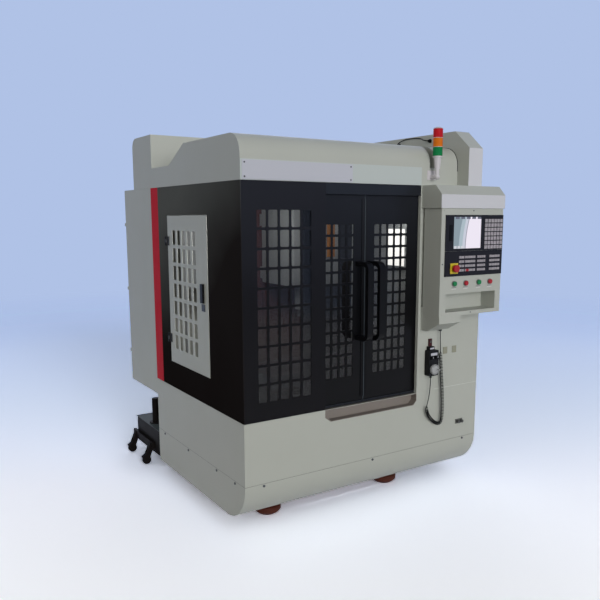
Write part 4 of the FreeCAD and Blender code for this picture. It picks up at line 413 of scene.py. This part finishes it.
def liningPaint():  # painted shade: dark over most of it and half-shaded at the rear left; pale on its right wall, with the work lamp's lit face
    finish = paint("liningPaint", paints["liningShaded"], 0.4, shine=0.2)
    across, deep, height = finish.axes()
    rear = across.below(leftFace + liningMarks["rearLeft"])
    rear = rear * deep.above(frontFace + liningMarks["rearFrom"])
    finish.patch(rear, dimmed(paints["lining"], liningMarks["rearShade"]))
    finish.patch(across.above(leftFace + liningMarks["rightWall"]), paints["lining"])
    wide, long, tall = liningMarks["lamp"]
    lit = across.between(leftFace + wide[0], leftFace + wide[1])
    lit = lit * deep.between(frontFace + long[0], frontFace + long[1]) * height.between(*tall)
    finish.glow(finish.mixed(lit, linear(0, 0, 0), linear(255, 252, 246)), liningMarks["lampGlow"])
    return finish


picture = {"off": linear(30, 30, 34), "glow": 0.86, "bow": 0.13, "first": linear(140, 156, 164),
           "bands": ((0.20, linear(176, 192, 200)), (0.33, linear(206, 210, 222)),
                     (0.425, linear(150, 148, 162)), (0.45, linear(250, 242, 254))),
           "foot": {"top": 0.085, "step": 0.125, "gap": 0.03, "right": 0.42,
                    "colour": linear(216, 216, 222)},
           "head": {"from": 0.935, "step": 0.2, "gap": 0.06, "colour": linear(96, 98, 112)}}


def screenPicture():  # a pale page with two bowed bands of glare at its left
    finish = Finish("screenPicture", 0.12)
    low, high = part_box("display_screen")
    x, _, z = finish.axes()
    across = (x - low[0]) * (1 / (high[0] - low[0]))
    up = (z - low[2]) * (1 / (high[2] - low[2]))
    bowed = across - up * up * picture["bow"]
    page = picture["first"]
    for edge, colour in picture["bands"]:
        page = finish.mixed(bowed.above(edge), page, colour)
    foot, head = picture["foot"], picture["head"]
    soft = across.wrapped(foot["step"]).above(foot["gap"]) * across.below(foot["right"])
    page = finish.mixed(up.below(foot["top"]) * soft, page, foot["colour"])
    tabs = across.wrapped(head["step"]).above(head["gap"])
    page = finish.mixed(up.above(head["from"]) * tabs, page, head["colour"])
    finish.colour(picture["off"])
    finish.glow(page, picture["glow"])
    return finish


keyGrid = {"across": 45, "up": 43, "columnCode": 0.37, "rowCode": 0.61, "shade": 0.35,
           "redShare": 0.04, "redTop": 1.39, "redSpan": (1.28, 1.37)}


def keyCaps():  # grey keys, a few of them red
    finish = Finish("keyCaps", 0.5)
    x, _, z = finish.axes()
    column = ((x - leftFace) * keyGrid["across"]).calc("FLOOR")
    row = (z * keyGrid["up"]).calc("FLOOR")
    code = (column * keyGrid["columnCode"] + row * keyGrid["rowCode"]).wrapped(1.0)
    finish.colour(finish.mixed(code * keyGrid["shade"], paints["key"], paints["keyShade"]))
    low, high = keyGrid["redSpan"]
    few = code.below(keyGrid["redShare"]) * z.below(keyGrid["redTop"])
    finish.patch(few * x.between(leftFace + low, leftFace + high), paints["signal"])
    return finish


plateLevels = {"tagsBelow": 1.2005, "stopAbove": 1.26}


def buttonPlates():  # a yellow stop plate, grey rings and pale tags
    finish = Finish("buttonPlates", 0.35)
    _, _, z = finish.axes()
    finish.colour(finish.mixed(z.below(plateLevels["tagsBelow"]), paints["ring"], paints["tag"]))
    finish.patch(z.above(plateLevels["stopAbove"]), paints["yellow"])
    return finish


portCoverAhead = 0.152


def bezelPaint():  # with a blacker port cover beside the screen
    finish = plastic("bezelPaint", paints["station"], 0.42, 0.1)
    _, deep, _ = finish.axes()
    finish.patch(deep.below(frontFace - portCoverAhead), paints["portCover"])
    return finish


signScrewsAhead = 0.0058


def signPaint():  # a white plate with dark screws
    finish = paint("signPaint", paints["white"], 0.3)
    _, deep, _ = finish.axes()
    finish.patch(deep.below(frontFace - signScrewsAhead), paints["signScrew"])
    return finish


fittingMarks = {"covers": (0.79, 0.86), "coversFrom": 1.27, "outletTop": 0.5, "outletAhead": 0.0045}


def wallFittings():  # the pendant's peg, two tan covers, a dark outlet
    finish = Finish("wallFittings", 0.5)
    x, deep, z = finish.axes()
    outlet = z.below(fittingMarks["outletTop"])
    outlet = outlet * deep.above(frontFace - fittingMarks["outletAhead"])
    finish.colour(finish.mixed(outlet, paints["peg"], paints["outlet"]))
    covers = z.between(*fittingMarks["covers"]) * x.above(leftFace + fittingMarks["coversFrom"])
    finish.patch(covers, paints["tan"])
    return finish


glandTop = 0.9599


def stationBox():  # cream, with a black cord gland under its arm
    finish = paint("stationPaint", paints["cream"], 0.42)
    _, _, height = finish.axes()
    finish.patch(height.below(glandTop), paints["hardware"])
    return finish


headMarks = {"stripAhead": 0.3798, "strip": (1.35, 1.57), "motorFrom": 1.6405}


def spindleHead():  # grey, with an orange strip on its front and a black motor above
    finish = paint("headPaint", paints["head"], 0.4)
    _, deep, height = finish.axes()
    strip = deep.below(frontFace + headMarks["stripAhead"]) * height.between(*headMarks["strip"])
    finish.patch(strip, paints["orange"])
    finish.patch(height.above(headMarks["motorFrom"]), paints["hardware"])
    return finish


pendantMarks = {"hookFrom": 0.8625, "tagAhead": 0.0402, "tag": (0.81, 0.83), "smallAhead": 0.0278,
                "small": (0.8475, 0.8565), "smallSpan": (1.161, 1.190), "pointerAhead": 0.0531}


def pendantCase():  # black, with a dark red hook, a white tag over the knobs and one above
    finish = plastic("pendantCase", paints["hardware"], 0.45, 0.15)
    across, deep, height = finish.axes()
    finish.patch(height.above(pendantMarks["hookFrom"]), paints["hook"])
    tag = deep.below(frontFace - pendantMarks["tagAhead"]) * height.between(*pendantMarks["tag"])
    finish.patch(tag, paints["white"])
    low, high = pendantMarks["smallSpan"]
    small = across.between(leftFace + low, leftFace + high)
    small = small * height.between(*pendantMarks["small"])
    finish.patch(small * deep.below(frontFace - pendantMarks["smallAhead"]), paints["white"])
    return finish


def pendantKnob():  # black, with a white pointer
    finish = plastic("pendantKnob", paints["hardware"], 0.4, 0.15)
    _, deep, _ = finish.axes()
    finish.patch(deep.below(frontFace - pendantMarks["pointerAhead"]), paints["white"])
    return finish


tankLidReflection = (0.247, 0.2508)


def tankBlack():
    finish = paint("tankPaint", paints["tank"], 0.34, shine=0.015)
    _, _, height = finish.axes()
    # a painted reflection lightens the lid
    finish.patch(height.between(*tankLidReflection), paints["tankLidReflection"])
    return finish


cream = creamPaint()
blackPaint = frontBlack("frontBlack", paints["black"], paints["blackReflectionTop"], 0.34)
finishes = (
    (cream, ("lower_valance", "front_panel", "left_base_panel", "right_side_panel", "right_hood",
             "rear_top_box", "cabinet_shell", "cabinet_door_left", "cabinet_door_right",
             "control_fascia")),
    (blackHardware, ("left_handle", "right_handle", "access_hinges", "access_latch", "duct_lead")),
    (casting(), ("bed_casting", "column_casting", "saddle")),
    (windowGlass(), ("front_window_pane", "left_door_pane", "right_door_pane")),
    (doorPaint(), ("left_door", "right_door")),
    (redPlastic, ("estop_button", "push_button_2", "push_button_4")),
    (greenPlastic, ("push_button_1", "push_button_3")),
    (pendantKnob(), ("axis_knob", "range_knob")),
    (steel, ("table", "spindle")),
    (bezelPaint(), ("cnc_bezel",)),
    (stationBlack, ("operator_panel",)),
    (highlightedBandCream(), ("main_hood",)),
    (accessDoor(), ("access_door",)),
    (paintedLightFront("ductPaint", 0.38, 0.0855), ("cable_duct",)),
    (paintedLightFront("stationHoodPaint", 0.38, 0.1515), ("control_hood",)),
    (stationBox(), ("control_box",)),
    (sideBlack(), ("left_side_panel",)),
    (blackPaint, ("front_left_panel",)),
    (paint("headerPaint", paints["header"], 0.34, shine=0.2), ("door_header",)),
    (paint("redPaint", paints["red"], 0.45, shine=0.04), ("left_stripe",)),
    (paint("pocketPaint", paints["pocket"], 0.5), ("sill_pocket",)),
    (signPaint(), ("sign_plate",)),
    (screenPicture(), ("display_screen",)),
    (keyCaps(), ("panel_keys",)),
    (buttonPlates(), ("button_plates",)),
    (plastic("towerWhite", paints["towerWhite"], 0.4), ("tower_stand",)),
    (lens("redLens", paints["towerRed"]), ("lens_red",)),
    (lens("amberLens", paints["amber"]), ("lens_amber",)),
    (lens("greenLens", paints["green"]), ("lens_green",)),
    (pendantCase(), ("pendant_body",)),
    (wheelGrey, ("handwheel",)),
    (wallFittings(), ("panel_fittings",)),
    (plastic("footPads", paints["foot"], 0.6, 0.15), ("levelling_feet",)),
    (spindleHead(), ("head",)),
    (liningPaint(), ("chamber_lining",)),
    (tankBlack(), ("coolant_tank",)),
)
for finish, names in finishes:
    for name in names:
        nodes[name].data.materials.clear()
        nodes[name].data.materials.append(finish.material)
print("stage: CAD nodes painted", sum(len(names) for _, names in finishes))


# geometry nodes
class Tree(Nodes):
    def __init__(self, name, inputs):
        super().__init__(bpy.data.node_groups.new(name, "GeometryNodeTree"))
        face = self.tree.interface
        face.new_socket("Geometry", in_out="INPUT", socket_type="NodeSocketGeometry")
        face.new_socket("Geometry", in_out="OUTPUT", socket_type="NodeSocketGeometry")
        kinds = {int: "NodeSocketInt", float: "NodeSocketFloat", tuple: "NodeSocketVector"}
        self.ids = {}
        for key, value in inputs.items():
            made = face.new_socket(key, in_out="INPUT", socket_type=kinds[type(value)])
            self.ids[key] = made.identifier
        self.inputs = inputs
        self.start = self.tree.nodes.new("NodeGroupInput")

    def value(self, key):
        return self.start.outputs[key]

    def finished(self, geometry, finish):
        real = self.node("GeometryNodeRealizeInstances", inputs={"Geometry": geometry})
        dressed = self.node("GeometryNodeSetMaterial",
                            inputs={"Geometry": real.outputs[0], "Material": finish.material})
        end = self.tree.nodes.new("NodeGroupOutput")
        self.tree.links.new(dressed.outputs[0], end.inputs[0])


def grown(name, base, tree, body):  # runs the tree on the mesh and keeps a plain mesh
    holder = bpy.data.objects.new(name + "Base", base)
    bpy.context.scene.collection.objects.link(holder)
    modifier = holder.modifiers.new("grow", "NODES")
    modifier.node_group = tree.tree
    for key, value in tree.inputs.items():
        modifier[tree.ids[key]] = value
    depsgraph = bpy.context.evaluated_depsgraph_get()
    mesh = bpy.data.meshes.new_from_object(holder.evaluated_get(depsgraph))
    mesh.name = name
    piece = bpy.data.objects.new(name, mesh)
    bpy.context.scene.collection.objects.link(piece)
    holder.modifiers.remove(modifier)
    bpy.data.objects.remove(holder)
    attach(piece, body)
    return piece


def pointMesh(name, places):  # loose points for a tree to start from
    mesh = bpy.data.meshes.new(name)
    mesh.from_pydata([tuple(place) for place in places], [], [])
    return mesh


turnFor = {"front": (math.pi / 2, 0.0, 0.0), "left": (0.0, math.pi / 2, 0.0)}


def fasteners(name, places, facing, sizes, finish):  # round heads on points
    tree = Tree(name, {"Radius": sizes["radius"], "Height": sizes["height"],
                       "Turn": turnFor[facing]})
    head = tree.node("GeometryNodeMeshCylinder", inputs={
        "Vertices": sizes["sides"], "Radius": tree.value("Radius"),
        "Depth": tree.value("Height")})
    spread = tree.node("GeometryNodeInstanceOnPoints", inputs={
        "Points": tree.value("Geometry"), "Instance": head.outputs["Mesh"],
        "Rotation": tree.value("Turn")})
    tree.finished(spread.outputs[0], finish)
    return grown(name, pointMesh(name, places), tree, root)


def slats(name, first, step, count, size, tilt, finish, body):  # a row of pressed louvres
    tree = Tree(name, {"Count": count, "Step": tuple(step), "Size": tuple(size),
                       "Tilt": tuple(tilt)})
    row = tree.node("GeometryNodeMeshLine", inputs={
        "Count": tree.value("Count"), "Offset": tree.value("Step"), "Start Location": first})
    slat = tree.node("GeometryNodeMeshCube", inputs={"Size": tree.value("Size")})
    spread = tree.node("GeometryNodeInstanceOnPoints", inputs={
        "Points": row.outputs[0], "Instance": slat.outputs["Mesh"],
        "Rotation": tree.value("Tilt")})
    tree.finished(spread.outputs[0], finish)
    return grown(name, pointMesh(name, [(0, 0, 0)]), tree, body)


# seam screws round the skirt, and smaller ones on the station's front
screwHead = {"radius": 0.0065, "height": 0.005, "sides": 16}
frontSeam = [spot(x, -1, 271) for x in (104, 782, 1462)]
sideSeam = [spot(-1, y, 271) for y in (107, 320, 693, 1052)]
fasteners("skirtScrewsFront", frontSeam, "front", screwHead, darkSteel)
fasteners("skirtScrewsSide", sideSeam, "left", screwHead, darkSteel)

fasciaScrew = {"radius": 0.0036, "height": 0.0028, "sides": 14}
fasciaPlaces = [spot(x, -146, z) for x, z in (
    (1121, 1616), (1343, 1616), (1565, 1616), (1121, 1332), (1121, 1060), (1343, 1060),
    (1565, 1060))]
fasteners("fasciaScrews", fasciaPlaces, "front", fasciaScrew, darkSteel)

# louvres on the cabinet's rear doors
louvre = {"count": 14, "pitch": 0.022, "wide": 0.34, "thick": 0.003, "tall": 0.016, "lean": 0.6}
for side, x in (("left", 390), ("right", 1178)):
    first = spot(x, 1652, 1330)
    slats(f"rearLouvres_{side}", first, (0, 0, louvre["pitch"]), louvre["count"],
          (louvre["wide"], louvre["thick"], louvre["tall"]), (louvre["lean"], 0.0, 0.0), cream,
          f"cabinet_door_{side}")
print("stage: screws and louvres")

# the pendant's dial: graduations round the handwheel
dial = {"ticks": 50, "radius": 0.0245, "long": 0.005, "wide": 0.0009, "thick": 0.0006,
        "middle": (1181, 734), "ahead": 53.2}


def dialMarks():
    tree = Tree("dialMarks", {"Count": dial["ticks"], "Radius": dial["radius"],
                              "Tick": (dial["long"], dial["wide"], dial["thick"])})
    ring = tree.node("GeometryNodeMeshCircle", inputs={
        "Vertices": tree.value("Count"), "Radius": tree.value("Radius")})
    place = tree.node("GeometryNodeInputPosition")
    aim = tree.node("FunctionNodeAlignRotationToVector", {"axis": "X"},
                    {"Vector": place.outputs[0]})
    tick = tree.node("GeometryNodeMeshCube", inputs={"Size": tree.value("Tick")})
    spread = tree.node("GeometryNodeInstanceOnPoints", inputs={
        "Points": ring.outputs[0], "Instance": tick.outputs["Mesh"],
        "Rotation": aim.outputs[0]})
    across, height = dial["middle"]
    stood = tree.node("GeometryNodeTransform", inputs={
        "Geometry": spread.outputs[0], "Rotation": (math.pi / 2, 0, 0),
        "Translation": tuple(spot(across, -dial["ahead"], height))})
    tree.finished(stood.outputs[0], blackHardware)
    return grown("dialMarks", pointMesh("dialMarks", [(0, 0, 0)]), tree, "handwheel")


dialMarks()
print("stage: dial marks")

# the curly cord, wound round the same hanging line as the solid
cord = {"corners": ((1240, 946), (1240, 870), (1284, 434), (1240, 388), (1138, 484), (1175, 590),
                    (1175, 682)), "off": 22, "curls": 70, "curlRadius": 0.0078, "wire": 0.0025,
        "ramp": 4, "firstShare": 0.124, "lastShare": 0.828, "steps": 14, "sides": 8,
        "resolution": 24, "topPoints": 8, "endPoints": 24}


def routeSpline():
    curve = bpy.data.curves.new("cordRoute", "CURVE")
    curve.dimensions = "3D"
    spline = curve.splines.new("NURBS")
    spline.points.add(len(cord["corners"]) - 1)
    for point, (x, z) in zip(spline.points, cord["corners"]):
        point.co = (*spot(x, -cord["off"], z), 1.0)
    spline.order_u = 3
    spline.use_endpoint_u = True
    spline.resolution_u = cord["resolution"]
    holder = bpy.data.objects.new("cordRoute", curve)
    bpy.context.scene.collection.objects.link(holder)
    depsgraph = bpy.context.evaluated_depsgraph_get()
    mesh = bpy.data.meshes.new_from_object(holder.evaluated_get(depsgraph))
    line = [vertex.co.copy() for vertex in mesh.vertices]
    bpy.data.objects.remove(holder)
    return line


def alongLine(line, share):  # point and way at a share of the line's length
    lengths = [(b - a).length for a, b in zip(line, line[1:])]
    left = share * sum(lengths)
    for (a, b), long in zip(zip(line, line[1:]), lengths):
        if left <= long:
            return a.lerp(b, left / long), (b - a).normalized()
        left -= long
    return line[-1], (line[-1] - line[-2]).normalized()


def curlyPath():
    line = routeSpline()
    first, last = cord["firstShare"], cord["lastShare"]
    count = cord["curls"] * cord["steps"]
    path = []
    side = Vector((0, 1, 0))
    for i in range(cord["topPoints"]):
        path.append(alongLine(line, first * i / cord["topPoints"])[0])
    for i in range(count + 1):
        turns = cord["curls"] * i / count
        share = first + (last - first) * i / count
        point, way = alongLine(line, share)
        ramp = max(0.0, min(1.0, turns / cord["ramp"], (cord["curls"] - turns) / cord["ramp"]))
        radius = cord["curlRadius"] * ramp * ramp * (3 - 2 * ramp)
        normal = way.cross(side).normalized()
        angle = 2 * math.pi * turns
        path.append(point + (normal * math.cos(angle) + side * math.sin(angle)) * radius)
    for i in range(1, cord["endPoints"] + 1):
        path.append(alongLine(line, last + (1 - last) * i / cord["endPoints"])[0])
    return path


def tube(name, path, radius, sides, finish):
    vertices = []
    ways = []
    for i in range(len(path)):
        ahead = path[min(i + 1, len(path) - 1)]
        behind = path[max(i - 1, 0)]
        ways.append((ahead - behind).normalized())
    across = ways[0].orthogonal().normalized()
    for point, way in zip(path, ways):
        across = (across - way * across.dot(way)).normalized()
        other = way.cross(across)
        for i in range(sides):
            angle = 2 * math.pi * i / sides
            vertices.append(point + (across * math.cos(angle) + other * math.sin(angle)) * radius)
    faces = []
    for ring in range(len(path) - 1):
        for i in range(sides):
            a = ring * sides + i
            b = ring * sides + (i + 1) % sides
            faces.append((a, b, b + sides, a + sides))
    faces.append(tuple(reversed(range(sides))))
    faces.append(tuple(range((len(path) - 1) * sides, len(path) * sides)))
    mesh = bpy.data.meshes.new(name)
    mesh.from_pydata([tuple(v) for v in vertices], [], faces)
    for polygon in mesh.polygons:
        polygon.use_smooth = len(polygon.vertices) == 4
    mesh.materials.append(finish.material)
    piece = bpy.data.objects.new(name, mesh)
    bpy.context.scene.collection.objects.link(piece)
    return piece


path = curlyPath()
cordLength = sum((b - a).length for a, b in zip(path, path[1:]))
cordPiece = tube("pendantCord", path, cord["wire"], cord["sides"], blackHardware)
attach(cordPiece, root)
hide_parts("curly_cord")
print(f"stage: cord, {cordLength:.3f} m")

# rubber bead where the right hood meets the duct's side
bead = {"radius": 0.002, "across": 1354.6, "top": 1965, "brow": 100, "backY": 330, "lowZ": 1832,
        "steps": 12, "sides": 10}


def hoodBead():
    brow = bead["brow"]
    line = [spot(bead["across"], bead["backY"], bead["top"])]
    for step in range(bead["steps"] + 1):
        turn = math.pi / 2 * step / bead["steps"]
        line.append(spot(bead["across"], brow - brow * math.sin(turn),
                         bead["top"] - brow + brow * math.cos(turn)))
    line.append(spot(bead["across"], 0, bead["lowZ"]))
    piece = tube("hoodBead", line, bead["radius"], bead["sides"], blackHardware)
    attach(piece, root)


hoodBead()
print("stage: hood bead")

# floor, lights, camera
camera = {"place": (-1442.4, -2807.0, 1586.2), "turn": (80.961, 0.017, -33.220),
          "lens": 40.86, "shift": (-0.0222, 0.0410)}
sky = linear(176, 194, 230)
floorValues = {"size": 90, "drop": 0.0005, "lightLevel": (0.366, 0.354, 0.326), "bounce": 0.30,
               "whiteAt": 2.79, "closest": 0.5, "fadeEnd": 11, "fadeRate": 0.17,
               "stops": ((0.0, sky), (0.089, sky), (0.219, linear(181, 199, 233)),
                         (0.349, linear(195, 209, 236)), (0.479, linear(211, 222, 240)),
                         (0.609, linear(229, 235, 247)), (0.740, linear(246, 247, 252)),
                         (0.987, linear(254, 254, 254)))}


def floorPlane():  # blue-grey far off, white close by, and it keeps the shadow
    bpy.ops.mesh.primitive_plane_add(size=floorValues["size"],
                                     location=(0, 0, -floorValues["drop"]))
    floor = bpy.context.object
    floor.name = "floor"
    finish = Finish("floorPaint", 0.9)
    x, y, _ = finish.axes()
    start = spot(*camera["place"])
    heading = math.radians(camera["turn"][2])
    ahead = (x - start.x) * -math.sin(heading) + (y - start.y) * math.cos(heading)
    near = finish.node("ShaderNodeMath", {"operation": "DIVIDE", "use_clamp": True}, {
        0: floorValues["whiteAt"], 1: ahead.calc("MAXIMUM", floorValues["closest"])})
    away = (x * x + y * y).calc("SQRT")
    fade = ((floorValues["fadeEnd"] - away) * floorValues["fadeRate"]).held()
    ramp = finish.node("ShaderNodeValToRGB", {"stops": floorValues["stops"]}, {
        "Fac": fade * near.outputs[0]})
    ramp.color_ramp.interpolation = "B_SPLINE"
    level = finish.node("ShaderNodeVectorMath", {"operation": "DIVIDE"}, {
        0: ramp.outputs[0], 1: floorValues["lightLevel"]})
    shaded = finish.node("ShaderNodeBsdfDiffuse", inputs={"Color": level.outputs[0]})
    even = finish.node("ShaderNodeEmission", inputs={"Color": ramp.outputs[0]})
    plain = finish.node("ShaderNodeBsdfDiffuse", inputs={
        "Color": (floorValues["bounce"],) * 3 + (1,)})
    seen = finish.node("ShaderNodeMixShader", inputs={
        0: fade, 1: even.outputs[0], 2: shaded.outputs[0]})
    whole = finish.node("ShaderNodeMixShader", inputs={
        0: finish.seen(), 1: plain.outputs[0], 2: seen.outputs[0]})
    finish.feed(finish.tree.nodes["Material Output"].inputs["Surface"], whole.outputs[0])
    floor.data.materials.append(finish.material)


def addLight(name, kind, place, target, power, colour=(1, 1, 1)):
    light = bpy.data.lights.new(name, kind)
    light.energy = power
    light.color = colour
    lamp = bpy.data.objects.new(name, light)
    lamp.location = place
    lamp.rotation_euler = (Vector(target) - Vector(place)).to_track_quat("-Z", "Y").to_euler()
    bpy.context.scene.collection.objects.link(lamp)
    return light


def softBox(name, place, target, size, power):
    light = addLight(name, "AREA", place, target, power)
    light.shape = "RECTANGLE"
    light.size, light.size_y = size


def softSun(name, place, power, spread, colour):  # even over the whole floor
    addLight(name, "SUN", place, (0, 0, 1), power, colour).angle = math.radians(spread)


airLight = {"tint": (1.0, 0.99, 0.965, 1.0), "horizon": 0.54, "zenith": 0.04}


def worldLight():  # most of its light comes from near the horizon
    world = bpy.data.worlds.new("studio")
    bpy.context.scene.world = world
    world.use_nodes = True
    studio = Nodes(world.node_tree)
    aim = studio.node("ShaderNodeTexCoord")
    split = studio.node("ShaderNodeSeparateXYZ", inputs={"Vector": aim.outputs["Generated"]})
    spread = studio.node("ShaderNodeMapRange", inputs={
        "Value": split.outputs["Z"], "To Min": airLight["horizon"],
        "To Max": airLight["zenith"]})
    air = studio.node("ShaderNodeBackground", inputs={
        "Color": airLight["tint"], "Strength": spread.outputs["Result"]})
    backdrop = studio.node("ShaderNodeBackground", inputs={"Color": sky})
    mix = studio.node("ShaderNodeMixShader", inputs={
        0: studio.seen(), 1: air.outputs[0], 2: backdrop.outputs[0]})
    studio.feed(studio.tree.nodes["World Output"].inputs["Surface"], mix.outputs[0])


# place, power, spread and colour; and for the lamps inside, place, target and power
suns = {"keyLight": ((-0.9, -5.8, 1.8), 1.76, 30, (1.0, 1.0, 1.0)),
        "fillLight": ((-5.0, -1.6, 2.2), 0.26, 50, (1.0, 0.92, 0.8)),
        "backLight": ((3.0, 6.0, 2.0), 0.5, 50, (1.0, 1.0, 1.0))}
chamberLamps = {"chamberLeft": ((170, 130, 1560), (430, 800, 1150), 2.6),
                "chamberRight": ((1000, 130, 1560), (1240, 440, 1280), 1.0)}
lampSize = (0.12, 0.12)

floorPlane()
worldLight()
for name, (place, power, spread, colour) in suns.items():
    softSun(name, place, power, spread, colour)
for name, (place, target, power) in chamberLamps.items():
    softBox(name, spot(*place), spot(*target), lampSize, power)

eye = bpy.data.cameras.new("camera")
eye.lens = camera["lens"]
eye.sensor_width = 36
eye.shift_x, eye.shift_y = camera["shift"]
viewer = bpy.data.objects.new("camera", eye)
viewer.location = spot(*camera["place"])
viewer.rotation_euler = Euler([math.radians(angle) for angle in camera["turn"]], "XYZ")
bpy.context.scene.collection.objects.link(viewer)
bpy.context.scene.camera = viewer
bpy.context.scene.view_settings.view_transform = "Standard"
print("stage: lights and camera")
